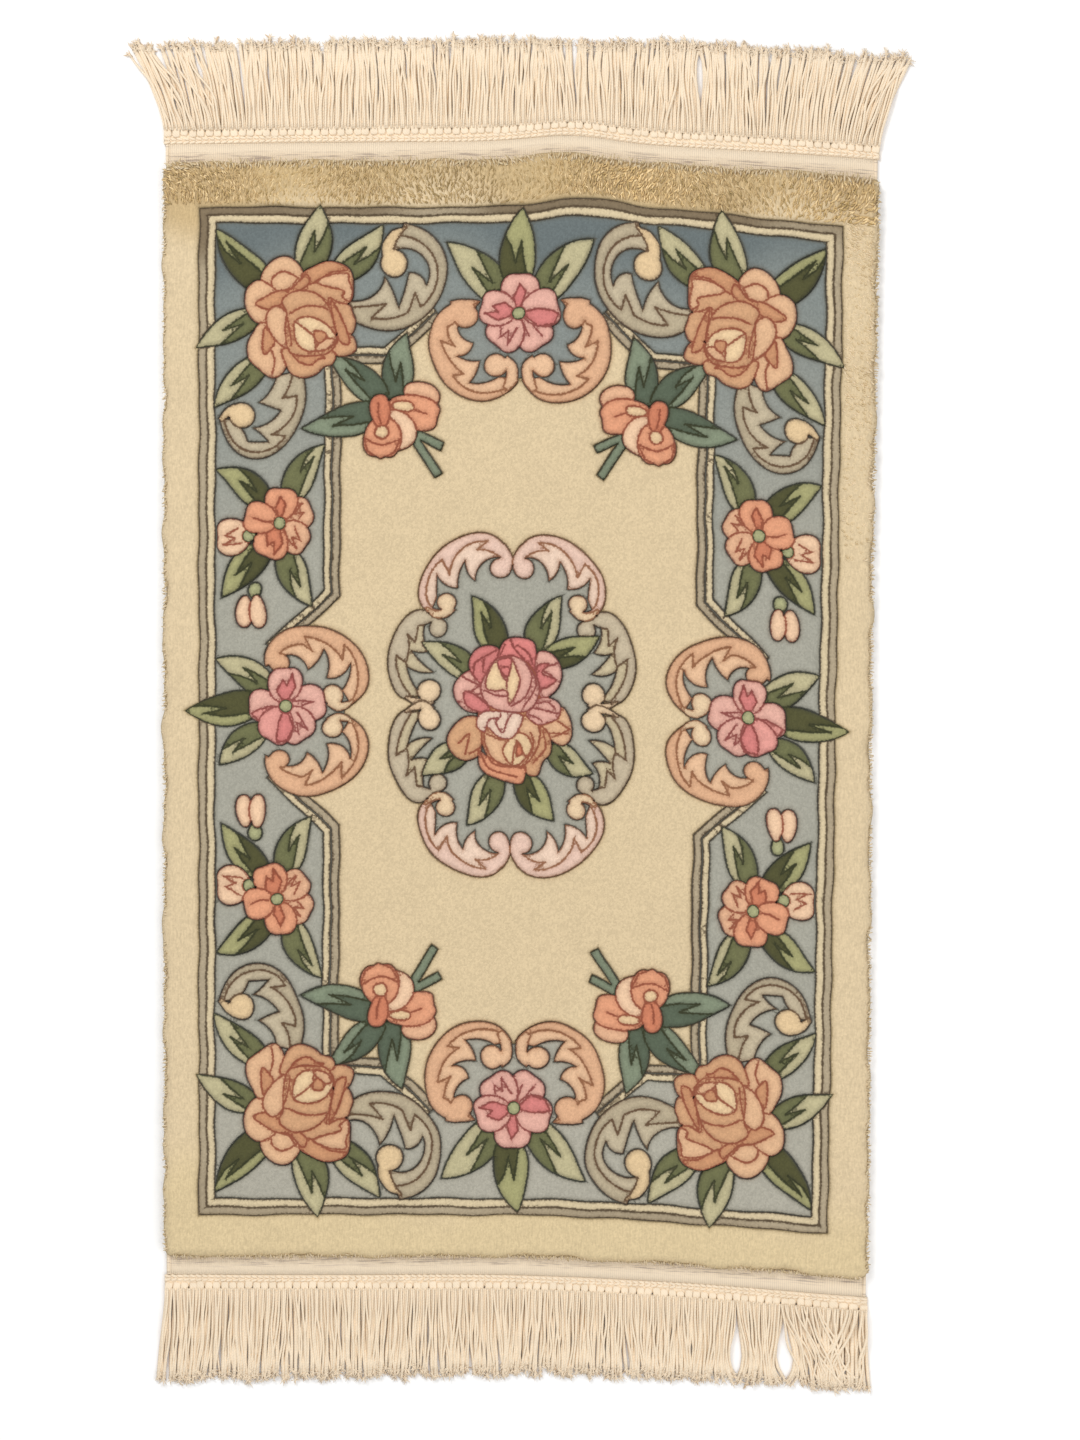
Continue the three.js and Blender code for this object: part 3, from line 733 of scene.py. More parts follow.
class Border:
    """The flowers, leaves and scrolls of the blue border."""

    LEAVES = (
        Leaf((-214, 363), (-264, 415), 29, LeafKind.OLIVE, 1, -4, 0.94),
        Leaf((-184, 378), (-170, 438), 31, LeafKind.PALE, -1, 4, 0.78),
        Leaf((-158, 373), (-116, 420), 28, LeafKind.PALE, -1, 4, 0.76),
        Leaf((-224, 343), (-279, 316), 25, LeafKind.PALE, 1, 3, 0.68),
        Leaf((-219, 304), (-264, 264), 25, LeafKind.PALE, 1, 4, 0.76),
    )
    ORCHID_LEAVES = (
        Leaf((-107, 268), (-100, 328), 28, LeafKind.TEAL, 1, -4, 0.72),
        Leaf((-117, 268), (-163, 309), 26, LeafKind.TEAL, -1, 5, 0.84),
        Leaf((-120, 260), (-187, 242), 28, LeafKind.TEAL, -1, -5, 0.78),
    )
    SPRAY_LEAVES = (
        Leaf((-213, 176), (-260, 213), 26, LeafKind.OLIVE, -1, 6, 0.76),
        Leaf((-198, 182), (-171, 233), 26, LeafKind.PALE, 1, -7, 0.9),
        Leaf((-218, 142), (-258, 100), 26, LeafKind.OLIVE, 1, 5, 0.76),
        Leaf((-204, 141), (-181, 90), 26, LeafKind.PALE, -1, 4, 0.8),
    )
    END_LEAVES = (
        Leaf((-13, 356), (-62, 407), 32, LeafKind.PALE, -1, 4, 0.7),
        Leaf((13, 356), (62, 407), 32, LeafKind.PALE, 1, -4, 0.7),
        Leaf((-4, 370), (1, 434), 32, LeafKind.OLIVE, 1, -3, 0.62),
    )
    FLANK_LEAVES = (
        Leaf((-211, 16), (-261, 48), 27, LeafKind.PALE, 1, 4, 0.72),
        Leaf((-221, -15), (-260, -45), 25, LeafKind.PALE, -1, 4, 0.8),
        Leaf((-222, 7), (-288, -3), 29, LeafKind.OLIVE, -1, -4, 0.9),
    )
    CORNER_SCROLL = Scroll(
        -111, 376, 50, 45, 40, -176, 40,
        ((-147, 355, -0.24), (-118, 376, 0.06), (-105, 350, -0.03), (-96, 379, 0.2), (-80, 369, -0.36),
         (-109, 397, 0)),
        ((-147, 349, -0.03), (-115, 353, 0), (-127, 340, -0.09), (-97, 345, 0), (-90, 362, 0),
         (-86, 349, -0.36), (-103, 411, 0)),
        Yarn.SCROLL_GREY, Yarn.SCROLL_GREY_LIGHT, Seam.SCROLL,
        last=Volute(-109, 387, 12, ((-115, 391, 8), (-113, 403, 12), (-107, 413, 9), (-98, 419, 1)),
                    Yarn.VOLUTE_CREAM),
    )
    SIDE_SCROLL = Scroll(
        -222, 269, 37, 51, -11, 40, -152,
        ((-209, 290, 0.13), (-225, 267, -0.02), (-206, 260, 0.12), (-230, 246, 0.06), (-216, 234, 0),
         (-233, 234, -0.1), (-248, 252, 0)),
        ((-196, 292, 0.09), (-204, 270, 0), (-192, 273, 0.17), (-213, 240, 0), (-201, 238, 0.36),
         (-254, 251, 0)),
        Yarn.SCROLL_GREY, Yarn.SCROLL_GREY_LIGHT, Seam.SCROLL,
        last=Volute(-239, 256, 11, ((-243, 262, 9), (-250, 258, 8), (-258, 251, 4)), Yarn.VOLUTE_CREAM),
    )
    END_SCROLL = Scroll(
        -38, 312, 46, 39, -59, 140, 388,
        ((-53, 333, -0.15), (-40, 318, 0.2), (-54, 307, -0.08), (-34, 303, 0.1), (-43, 285, -0.12),
         (-17, 289, 0)),
        ((-55, 344, 0.25), (-62, 334, -0.09), (-56, 316, 0), (-68, 321, -0.12), (-48, 292, 0),
         (-58, 290, -0.18), (-13, 278, 0)),
        Yarn.SCROLL_PEACH, Yarn.SCROLL_PEACH_LIGHT, Seam.SCROLL_PEACH,
        Volute(-46, 342, 10, ((-44, 344, 16), (-50, 349, 15), (-60, 349, 12))),
        Volute(-20, 299, 10, ((-14, 304, 10), (-7, 298, 10), (-7, 287, 10), (-12, 278, 5)),
               Yarn.SCROLL_PEACH_LIGHT),
    )
    FLANK_SCROLL = Scroll(
        -174, 37, 46, 35, -20, -156, -393,
        ((-205, 46, 0.23), (-182, 36, -0.08), (-168, 54, 0.12), (-165, 29, -0.22), (-145, 41, 0.12),
         (-152, 18, 0)),
        ((-211, 44, 0.12), (-185, 57, 0), (-178, 52, 0), (-184, 64, 0.13), (-152, 44, 0), (-151, 57, 0.19),
         (-145, 7, 0)),
        Yarn.SCROLL_PEACH, Yarn.SCROLL_PEACH_LIGHT, Seam.SCROLL_PEACH,
        Volute(-206, 41, 8, ((-207, 40, 14), (-212, 46, 12), (-210, 55, 10))),
        Volute(-160, 14, 9, ((-164, 9, 8), (-156, 4.6, 8), (-148, 6, 6), (-142, 10, 2)), Yarn.VOLUTE_PALE),
    )
    ROSE = (
        Lobe(((-34, 32), (-30, 44), (-21, 52), (-11, 53), (-3, 48), (3, 39), (-4, 28), (-22, 24)),
             Yarn.PEACH_LIGHT, (((-24, 26), (-23, 35), (-15, 40), (-7, 38), (0, 34)), ((-1, 35),
             (-7, 27)))),
        Lobe(((-34, 33), (-45, 27), (-48, 18), (-47, 8), (-41, -2), (-33, -5), (-22, 4), (-18, 22)),
             Yarn.PEACH_LIGHT),
        Lobe(((2, 38), (11, 45), (24, 50), (37, 47), (44, 40), (46, 26), (44, 14), (30, 10), (4, 22)),
             Yarn.PEACH),
        Lobe(((2, 38), (11, 45), (24, 50), (36, 47), (41, 41), (27, 40), (14, 32), (6, 30)),
             Yarn.PEACH_DEEP),
        Lobe(((14, 31), (26, 38), (41, 38), (42, 31), (45, 22), (43, 14), (36, 18), (37, 23)),
             Yarn.PEACH_LIGHT),
        Lobe(((24, 16), (33, 13), (43, 11), (46, 4), (48, -4), (43, -14), (30, -10)), Yarn.PEACH),
        Lobe(((42, -13), (47, -19), (48, -28), (39, -33), (30, -32), (26, -22), (32, -14)), Yarn.PEACH),
        Lobe(((26, 15), (33, 6), (39, -8), (42, -22), (34, -20), (30, -6)), Yarn.PEACH_DEEP, (), 0.3),
        Lobe(((-34, -4), (-41, -14), (-45, -25), (-44, -36), (-36, -44), (-25, -52), (-17, -50),
             (-12, -40), (-14, -24), (-24, -10)), Yarn.PEACH_LIGHT, (((-25, -27), (-22, -38),
             (-24, -50)),)),
        Lobe(((-30, -8), (-32, -22), (-31, -32), (-26, -28), (-22, -20)), Yarn.PEACH_DEEP, (), 0.2),
        Lobe(((31, -31), (29, -40), (21, -43), (14, -49), (2, -52), (-9, -47), (-14, -37), (-16, -27),
             (0, -24), (18, -24)), Yarn.PEACH),
        Lobe(((-8, -30), (-1, -38), (9, -41), (16, -36), (22, -35), (14, -31), (2, -33)), Yarn.PEACH_DEEP,
             (), 0.3),
        Lobe(((-39, 12), (-32, 18), (-20, 24), (-8, 25), (0, 33), (6, 38), (8, 30), (-2, 22), (-12, 16),
             (-26, 8)), Yarn.PEACH_DEEP, (), 0.4),
        Lobe(((-29, 5), (-23, 11), (-16, 9), (-11, 1), (-13, -14), (-10, -26), (-19, -22), (-26, -13),
             (-30, -3)), Yarn.PEACH_LIGHT, (), 0.6),
        Lobe(((-16, 15), (-8, 22), (2, 24), (13, 21), (22, 13), (28, 1), (31, -14), (31, -22), (24, -31),
             (12, -33), (-2, -32), (-11, -27), (-13, -10), (-12, 4)), Yarn.PEACH, (((-8, 4), (4, 9),
             (18, 9), (26, 6)), ((-12, 3), (-9, -10), (-8, -24))), 0.9),
        Lobe(((-4, -4), (5, 0), (17, -2), (27, -9), (31, -19), (24, -27), (13, -29), (4, -28), (-3, -22),
             (-5, -12)), Yarn.ROSE_HEART, (((-4, -4), (11, -15), (13, -24), (14, -29)),), 1.4),
        Lobe(((14, -25), (22, -18), (30, -19), (24, -27), (14, -29)), Yarn.PEACH_LIGHT, (), 1.4),
        Lobe(((13, -12), (21, -12), (23, -17), (17, -22), (13, -18)), Yarn.PEACH_DEEP, (), 1.6),
    )
    ROSE_X = -189
    ROSE_Y = 340

    def rose(self) -> list[Zone]:
        """Returns the big corner rose, its heart towards the rug's middle."""
        base = disc(self.ROSE_X, self.ROSE_Y, 34, Family.FLOWERS, Yarn.PEACH, Seam.PETAL)
        return [base] + [lobe.zone(self.ROSE_X, self.ROSE_Y, Seam.PETAL) for lobe in self.ROSE]

    def orchid(self) -> list[Zone]:
        """Returns the orchid spray with its forked stem."""
        forks = [ribbon([(-95, 243), tip], 7.6) for tip in ((-66, 229), (-69.5, 204.5))]
        kind = (Family.LEAVES, Yarn.TEAL, Seam.LEAF)
        stems = [Zone(fork, *kind, joined=i > 0) for i, fork in enumerate(forks)]
        rows = (
            Petal(-84.2, 273.5, 32, 22, -22, Yarn.CORAL_LIGHT),
            Petal(-90.5, 258.5, 47, 30, -14, Yarn.CORAL, mark=Mark.STROKE, notch=0.12),
            Petal(-107, 242, 36, 36, -80, Yarn.CORAL_PALE),
            Petal(-118, 236, 37, 34, -95, Yarn.CORAL, Fold.LIP, Yarn.CORAL, notch=0.16),
            Petal(-119.4, 259.5, 28, 17, 95, Yarn.CORAL_DEEP, mark=Mark.STROKE),
        )
        hearts = (
            Petal(-100.2, 263.6, 19, 9, 0, Yarn.ROSE_HEART, rise=0.8),
            Petal(-118.4, 241.4, 12, 11, 0, Yarn.ROSE_HEART, rise=0.8),
        )
        return stems + all_zones(rows + hearts)

    def spray(self) -> list[Zone]:
        """Returns the coral flower with its half-hidden neighbour and its bud."""
        coral, light, deep = Yarn.CORAL, Yarn.CORAL_LIGHT, Yarn.CORAL_DEEP
        half = Petal(-246.5, 150.5, 32, 33, 180, Yarn.CORAL_PALE, None, None, Mark.ZED, 0.12)
        eye = disc(-232.5, 151, 5.6, Family.FLOWERS, Yarn.CALYX, Seam.LEAF, 0.4)
        flower = Blossom(
            -206.8, 162.3, 31.5,
            (
                (25, light, Mark.ZED, 1, None),
                (-40, light, Mark.ZED, -1, None),
                (84, coral, Fold.WEDGE, 1, deep),
                (-112, coral, Fold.SPIKES, 1, deep),
                (166, coral, Mark.STROKE, 1, None),
            ),
            Seam.PETAL,
        )
        calyx = Petal(-227.6, 104.5, 15, 12, 90, Yarn.CALYX, seam=Seam.LEAF, family=Family.LEAVES)
        bud = (
            Petal(-236.6, 86.5, 28, 14, 266, Yarn.CORAL_PALE),
            Petal(-225.2, 86.5, 28, 14, 274, Yarn.CORAL_PALE),
        )
        return half.zones() + [eye] + all_zones((flower, calyx, *bud))

    def zones(self) -> list[Zone]:
        """Returns the whole border, scrolls first and flowers over them."""
        pink, light, deep = Yarn.PINK, Yarn.PINK_LIGHT, Yarn.PINK_DEEP
        bridge = np.array([[-40, 288], [40, 288], [40, 352], [-40, 352]], dtype=float)
        flank = np.array([[-216, -40], [-150, -36], [-150, 36], [-216, 40]], dtype=float)
        blue = [Zone(shape, Family.BLUE, Yarn.BLUE, Seam.BLUE) for shape in (bridge, flank)]
        zones = in_quarters([self.END_SCROLL.ground(), self.FLANK_SCROLL.ground()] + blue)
        scrolls = (self.CORNER_SCROLL, self.SIDE_SCROLL, self.END_SCROLL, self.FLANK_SCROLL)
        zones += in_quarters(all_zones(scrolls))
        sprays = (*self.LEAVES, *self.ORCHID_LEAVES, *self.SPRAY_LEAVES)
        zones += in_quarters(all_zones(sprays))
        zones += in_quarters(self.orchid() + self.spray() + self.rose())
        end = all_zones(self.END_LEAVES)
        end += Blossom(
            -0.9, 343.5, 35,
            (
                (-54, light, Mark.PAIR, 1, None),
                (234, light, Mark.ZED, 1, None),
                (90, light, Fold.WEDGE, 1, deep),
                (14, light, Fold.SIDE, -1, deep),
                (166, light, Fold.SPIKES, 1, deep),
            ),
            Seam.PINK,
        ).zones()
        side = all_zones(self.FLANK_LEAVES)
        side += Blossom(
            -200.1, 4.4, 34,
            (
                (8, light, Mark.VEE, 1, None),
                (-60, light, Mark.ZED, 1, None),
                (180, light, Fold.SIDE, 1, pink),
                (-118, pink, Fold.SIDE, 1, deep),
                (92, light, Fold.SPIKES, -1, deep),
            ),
            Seam.PINK,
        ).zones()
        return zones + end + mirrored(end, 1, -1) + side + mirrored(side, -1, 1)


def all_zones(parts: Iterable[Leaf | Petal | Blossom | Scroll]) -> list[Zone]:
    """Returns the zones of some leaves, petals or scrolls, in order."""
    return [z for part in parts for z in part.zones()]


class Medallion:
    """The centre: eight scrolls round a blue ground with two roses and their leaves."""

    CENTRE = (-5, 5)
    PINK_SCROLL = Scroll(
        -47, 117, 44, 30, 40, -8, 192,
        ((-15, 133, -0.25), (-36, 113, 0.12), (-46, 130, -0.1), (-52, 107, 0.15), (-71, 117, 0),
         (-70, 98, 0)),
        ((-15, 132, -0.12), (-36, 139, 0), (-27, 146, -0.21), (-60, 118, 0), (-67, 130, -0.17),
         (-77, 94, -0.19), (-63, 88, 0)),
        Yarn.SCROLL_PINK, Yarn.SCROLL_PINK_LIGHT, Seam.SCROLL_PEACH,
        Volute(-15, 124, 9, ((-10, 123, 9), (-10, 133, 10), (-16, 143, 9))),
        Volute(-62, 94, 8, ((-58, 90, 9), (-64, 84, 8), (-72, 84, 6), (-79, 90, 2)), Yarn.VOLUTE_PALE),
    )
    SAGE_SCROLL = Scroll(
        -89, 49, 40, 22, 80, -10, 172,
        ((-81, 75, -0.13), (-76, 53, 0.1), (-91, 52, -0.04), (-73, 34, 0.1), (-95, 38, -0.1), (-80, 12, 0)),
        ((-73, 78, 0.05), (-87, 74, 0), (-89, 59, 0), (-96, 66, 0.1), (-96, 42, 0), (-104, 48, -0.11),
         (-91, 12, 0)),
        Yarn.SCROLL_SAGE, Yarn.SCROLL_SAGE_LIGHT, Seam.SCROLL,
        Volute(-69, 72, 8, ((-69, 78, 5), (-76, 81, 7), (-84, 82, 9), (-91, 80, 9))),
        Volute(-76, 17, 10, ((-73, 10, 8), (-80, 6, 8), (-89, 8, 6), (-97, 11, 2)), Yarn.VOLUTE_PALE),
    )
    LEAVES = (
        Leaf((-16, 50), (-38, 101), 28, LeafKind.OLIVE, -1, 4, 0.86),
        Leaf((13, 50), (36, 102), 27, LeafKind.PALE, 1, -4, 0.84),
        Leaf((-35, 29), (-82, 62), 25, LeafKind.PALE, -1, 4, 0.78),
        Leaf((23, 44), (72, 66), 25, LeafKind.OLIVE, -1, 4, 0.66),
        Leaf((-43, -32), (-84, -54), 24, LeafKind.PALE, 1, 3, 0.62),
        Leaf((28, -31), (65, -54), 24, LeafKind.PALE, -1, 4, 0.66),
        Leaf((-16, -55), (-42, -100), 26, LeafKind.PALE, 1, -4, 0.74),
        Leaf((3, -55), (31, -96), 27, LeafKind.OLIVE, -1, 4, 0.7),
    )
    PEACH_ROSE = (
        Lobe(((-33, -8), (-46, -5), (-56, -14), (-60, -26), (-54, -38), (-42, -42), (-31, -34)),
             Yarn.PEACH, (((-44, -36), (-41, -20), (-50, -28)), ((-40, -36), (-32, -32)))),
        Lobe(((38, 6), (46, -2), (48, -14), (46, -24), (38, -29), (28, -24), (21, -10)), Yarn.PEACH_LIGHT,
             (((24, -8), (34, -6), (46, -14)), ((28, -18), (44, -18)), ((46, -14), (32, -21)))),
        Lobe(((20, -12), (28, -22), (29, -36), (23, -44), (19, -55), (10, -55), (7, -46), (16, -30)),
             Yarn.PEACH, (((22, -18), (24, -32), (14, -46)),)),
        Lobe(((-33, -34), (-33, -46), (-26, -55), (-12, -61), (2, -63), (7, -58), (7, -48), (-8, -48),
             (-24, -40)), Yarn.CORAL, (((-31, -38), (-24, -50), (-10, -55), (0, -57)), ((-28, -36),
             (-18, -47), (6, -49)))),
        Lobe(((-28, -18), (-26, -34), (-16, -45), (0, -48), (10, -44), (17, -32), (19, -14), (8, -4),
             (-16, -6)), Yarn.PEACH_LIGHT, (((-26, -20), (-14, -24), (-4, -22)), ((12, -18), (14, -30),
             (8, -44))), 0.7),
        Lobe(((-13, -34), (-9, -26), (0, -18), (8, -20), (13, -30), (8, -40), (0, -47), (-8, -44)),
             Yarn.ROSE_HEART, (((-4, -46), (-3, -34), (0, -24)), ((0, -24), (5, -34), (9, -44))), 1.2),
        Lobe(((-1, -37), (1, -26), (5, -35), (1, -38)), Yarn.CORAL_DEEP, (), 1.4),
    )
    PINK_ROSE = (
        Lobe(((-34, 35), (-46, 32), (-55, 22), (-54, 10), (-45, 0), (-33, -2), (-24, 4), (-28, 20)),
             Yarn.PINK_LIGHT, (((-50, 30), (-42, 26), (-32, 22)), ((-32, 22), (-42, 14), (-31, 15)),
             ((-52, 8), (-40, 8), (-30, 6)))),
        Lobe(((-36, 14), (-46, 16), (-44, 4), (-30, -2), (-24, 2)), Yarn.PINK_DEEP),
        Lobe(((-29, 22), (-41, 34), (-42, 44), (-36, 54), (-26, 57), (-17, 53), (-16, 40), (-24, 30)),
             Yarn.PINK_DEEP, (((-38, 32), (-36, 42), (-20, 52)), ((-30, 44), (-30, 34)))),
        Lobe(((-18, 46), (-15, 56), (-8, 62), (4, 63), (14, 60), (17, 50), (17, 34), (10, 42), (-2, 46),
             (-12, 44)), Yarn.PINK_HOT, (((-6, 60), (-2, 52), (10, 42)), ((0, 56), (10, 50), (14, 42)),
             ((-12, 56), (-16, 48)))),
        Lobe(((17, 50), (26, 53), (35, 46), (39, 34), (36, 22), (28, 14), (20, 12), (17, 26)),
             Yarn.PINK_LIGHT, (((34, 42), (22, 38), (30, 32)), ((30, 32), (22, 30), (20, 16)))),
        Lobe(((18, 40), (28, 42), (22, 34), (34, 28), (22, 20), (18, 24)), Yarn.PINK_DEEP, (), 0.2),
        Lobe(((20, 12), (32, 12), (39, 6), (36, -4), (28, -8), (18, -11), (8, -4), (10, 4)),
             Yarn.PINK_LIGHT, (((10, 3), (24, 2), (36, 0)), ((14, 6), (26, 9), (34, 4)), ((8, -2),
             (20, -6)))),
        Lobe(((-24, 0), (-34, -4), (-35, -14), (-28, -19), (-26, -14), (-16, -22), (-4, -22), (4, -10),
             (2, -2)), Yarn.SCROLL_PINK_LIGHT, (((-14, -4), (-18, -10), (-12, -18), (-8, -8), (-4, -1)),
             ((-28, -18), (-24, -8), (-16, -6)))),
        Lobe(((-31, 22), (-26, 34), (-20, 44), (-8, 47), (6, 44), (15, 34), (19, 22), (16, 8), (8, 0),
             (-4, -1), (-20, 2), (-29, 10)), Yarn.PINK_LIGHT, (((-28, 18), (-18, 14), (-10, 13)), ((8, 42),
             (13, 30), (6, 12), (-6, 4)), ((14, 34), (16, 22), (4, 2))), 0.9),
        Lobe(((-27, 21), (-25, 34), (-19, 44), (-14, 32), (-9, 28), (-6, 45), (0, 34), (2, 26), (-3, 12),
             (-8, 6), (-10, 18), (-20, 18)), Yarn.ROSE_HEART, (((-9, 28), (-10, 16), (-8, 8)),), 1.3),
        Lobe(((-18, 43), (-6, 45), (-7, 34), (-9, 30), (-13, 32)), Yarn.PINK_HOT, (((-14, 38), (-8, 38)),),
             1.5),
    )

    def zones(self) -> list[Zone]:
        """Returns the blue ground, the scrolls, the leaves and the roses."""
        a = np.linspace(0, 2 * np.pi, 140, endpoint=False)
        cx, cy = self.CENTRE
        oval = columns(cx + 80 * np.cos(a), cy + 122 * np.sin(a))
        ground = Zone(oval, Family.BLUE, Yarn.BLUE, Seam.BLUE)
        scrolls = (self.SAGE_SCROLL, self.PINK_SCROLL)
        zones = in_quarters([ground] + [s.ground() for s in scrolls], self.CENTRE)
        zones += in_quarters(all_zones(scrolls), self.CENTRE)
        zones += all_zones(self.LEAVES)
        base = columns(-3 + 32 * np.cos(a), -2 + 54 * np.sin(a))
        zones.append(Zone(base, Family.FLOWERS, Yarn.PEACH, Seam.PETAL))
        zones += [lobe.zone(0, 0, Seam.PETAL) for lobe in self.PEACH_ROSE]
        return zones + [lobe.zone(0, 0, Seam.PINK) for lobe in self.PINK_ROSE]


def edges_of(faces: Points) -> Points:
    """Returns each triangle's three edges as pairs of point numbers, in its own sense."""
    return np.vstack([faces[:, [0, 1]], faces[:, [1, 2]], faces[:, [2, 0]]])


def is_rim(edges: Points, count: int) -> Points:
    """Tells which edges have no twin that runs the other way, among a count of points."""
    return ~np.isin(edges[:, 0] * count + edges[:, 1], edges[:, 1] * count + edges[:, 0])


@dataclass
class Triangles:
    """A flat triangle mesh with a zone for each triangle."""

    points: Points
    faces: Points
    zone: Points


@dataclass(frozen=True)
class Cuts:
    """The carved lines: pairs of points, how low each line is cut, and how far its slope reaches."""

    points: Points
    pairs: Points
    low: Points
    reach: Points
    corners: int


@dataclass
class CarvedPile:
    """The wool pile: every zone cut out along its outline, with a carved groove round it."""

    zones: list[Zone]  # the pattern, painted in order
    floor: Floor  # where the drawn sheet lies
    outline_step: float = 1.6  # millimetres between points on a carved line
    # millimetres from a carved line to the rows of points beside it
    ring_steps: Pair = (0.95, 2.5)
    grid_step: float = 3.4  # millimetres between points on open ground
    groove_depth: float = 2.6  # millimetres that a line is cut below the lower zone
    groove_reach: float = 3.4  # millimetres over which the pile rises from a line
    mark_depth: float = 1.7  # millimetres that a line inside a zone is cut
    bottom: float = 3.05  # the height of the pile's foot
    seed: int = 11  # for its small unevenness

    def areas(self) -> Points:
        """Returns for each zone the number of the area that it is one with."""
        ground = next(i for i, z in enumerate(self.zones) if z.family is Family.BLUE)
        owners: list[int] = []
        for i, zone in enumerate(self.zones):
            owners.append(ground if zone.family is Family.BLUE else owners[-1] if zone.joined else i)
        return np.array(owners)

    def drawn(self) -> Triangles:
        """Triangulates all the outlines together and gives each triangle its topmost area."""
        points: list[Points] = []
        faces: list[list[int]] = []
        count = 0
        for zone in self.zones:
            outline = dense(zone.outline, self.outline_step)
            if cross(outline, np.roll(outline, -1, axis=0)).sum() < 0:
                outline = outline[::-1]
            points.append(hand_cut(outline))
            faces.append(list(range(count, count + len(outline))))
            count += len(outline)
        flat = [Vector(p) for p in np.vstack(points)]
        verts, _, tris, _, _, sources = delaunay_2d_cdt(flat, [], faces, 1, 1e-4, True)
        top = np.array([max(source, default=-1) for source in sources])
        inside = top >= 0
        return Triangles(np.array([v[:] for v in verts]), np.array(tris)[inside], self.areas()[top[inside]])

    def seams(self, mesh: Triangles) -> Points:
        """Returns the edges between unlike areas: two point numbers, and the area on each side or -1."""
        pairs = np.sort(edges_of(mesh.faces), axis=1)
        owner = np.tile(mesh.zone, 3)
        order = np.lexsort((pairs[:, 1], pairs[:, 0]))
        pairs, owner = pairs[order], owner[order]
        starts = np.flatnonzero(np.concatenate([[True], np.any(pairs[1:] != pairs[:-1], axis=1)]))
        lone = np.append(starts[1:], len(pairs)) - starts == 1
        one, two = starts[lone], starts[~lone]
        two = two[owner[two] != owner[two + 1]]
        return np.vstack([
            columns(pairs[one], owner[one], np.full(len(one), -1)),
            columns(pairs[two], owner[two], owner[two + 1]),
        ])

    def height(self, area: int) -> float:
        """Returns an area's height in millimetres."""
        zone = self.zones[area]
        return TOPS_MM[zone.family] + zone.rise

    def cut(self, one: int, other: int) -> float:
        """Returns the height of the groove's bottom between two areas, or at the rug's edge."""
        if other < 0:
            return self.bottom + 0.4
        like = self.zones[one].family == self.zones[other].family
        depth = self.groove_depth * (0.8 if like else 1.0)
        return min(self.height(one), self.height(other)) - depth

    def cuts(self, coarse: Triangles, finder: BVHTree) -> Cuts:
        """Gathers the carved lines between areas and the lines cut inside them."""
        seams = self.seams(coarse)
        used, ends = np.unique(seams[:, :2], return_inverse=True)
        corners = coarse.points[used]
        pairs = [ends.reshape(-1, 2)]
        points = [corners]
        lows = [np.array([self.cut(one, other) for one, other in seams[:, 2:]])]
        reaches = [np.where(seams[:, 3] < 0, EDGE_REACH, self.groove_reach)]
        tree = kd_tree(corners)
        areas = self.areas()
        count = len(corners)
        for i, zone in enumerate(self.zones):
            for mark in zone.marks:
                line = hand_cut(dense_line(mark, self.outline_step))
                kept = np.array([self.on_area(p, areas[i], coarse, finder, tree) for p in line])
                both = np.flatnonzero(kept[1:] & kept[:-1])
                points.append(line)
                pairs.append(columns(both, both + 1) + count)
                lows.append(np.full(len(both), self.height(areas[i]) - self.mark_depth))
                reaches.append(np.full(len(both), self.groove_reach * 0.8))
                count += len(line)
        every, joined = np.vstack(points), np.vstack(pairs)
        held = np.unique(joined)
        keep = np.concatenate([np.arange(len(corners)), held[held >= len(corners)]])
        place = np.full(len(every), -1)
        place[keep] = np.arange(len(keep))
        return Cuts(every[keep], place[joined], np.concatenate(lows), np.concatenate(reaches), len(corners))

    def on_area(self, point: Points, area: int, coarse: Triangles, finder: BVHTree, tree: KDTree) -> bool:
        """Tells whether a point shows on an area, clear of its edge."""
        _, _, index, _ = finder.find_nearest((point[0], point[1], 0), 0.02)
        far = tree.find((point[0], point[1], 0))[2]
        return index is not None and coarse.zone[index] == area and far > 0.8

    def build(self) -> list[Piece]:
        """Makes the pile's pieces.

        Returns:
            One object for each family of zones.
        """
        rng = np.random.default_rng(self.seed)
        coarse = self.drawn()
        finder = BVHTree.FromPolygons([(x, y, 0) for x, y in coarse.points], coarse.faces.tolist())
        cuts = self.cuts(coarse, finder)
        shares = np.linspace(0, 1, 4)[:-1]
        a, b = cuts.points[cuts.pairs[:, 0]], cuts.points[cuts.pairs[:, 1]]
        tree = kd_tree(np.vstack([a + (b - a) * s for s in shares]))
        free = self.free_points(rng, a, b, tree)
        on_seam = cuts.pairs.max(axis=1) < cuts.corners
        fine = self.labelled(np.vstack([cuts.points, free]), cuts.pairs, cuts.corners, coarse, finder)
        base = self.labelled(cuts.points[: cuts.corners], cuts.pairs[on_seam], cuts.corners, coarse, finder)
        LOG.info("lines %d, top %d, foot %d triangles", len(cuts.pairs), len(fine.faces), len(base.faces))

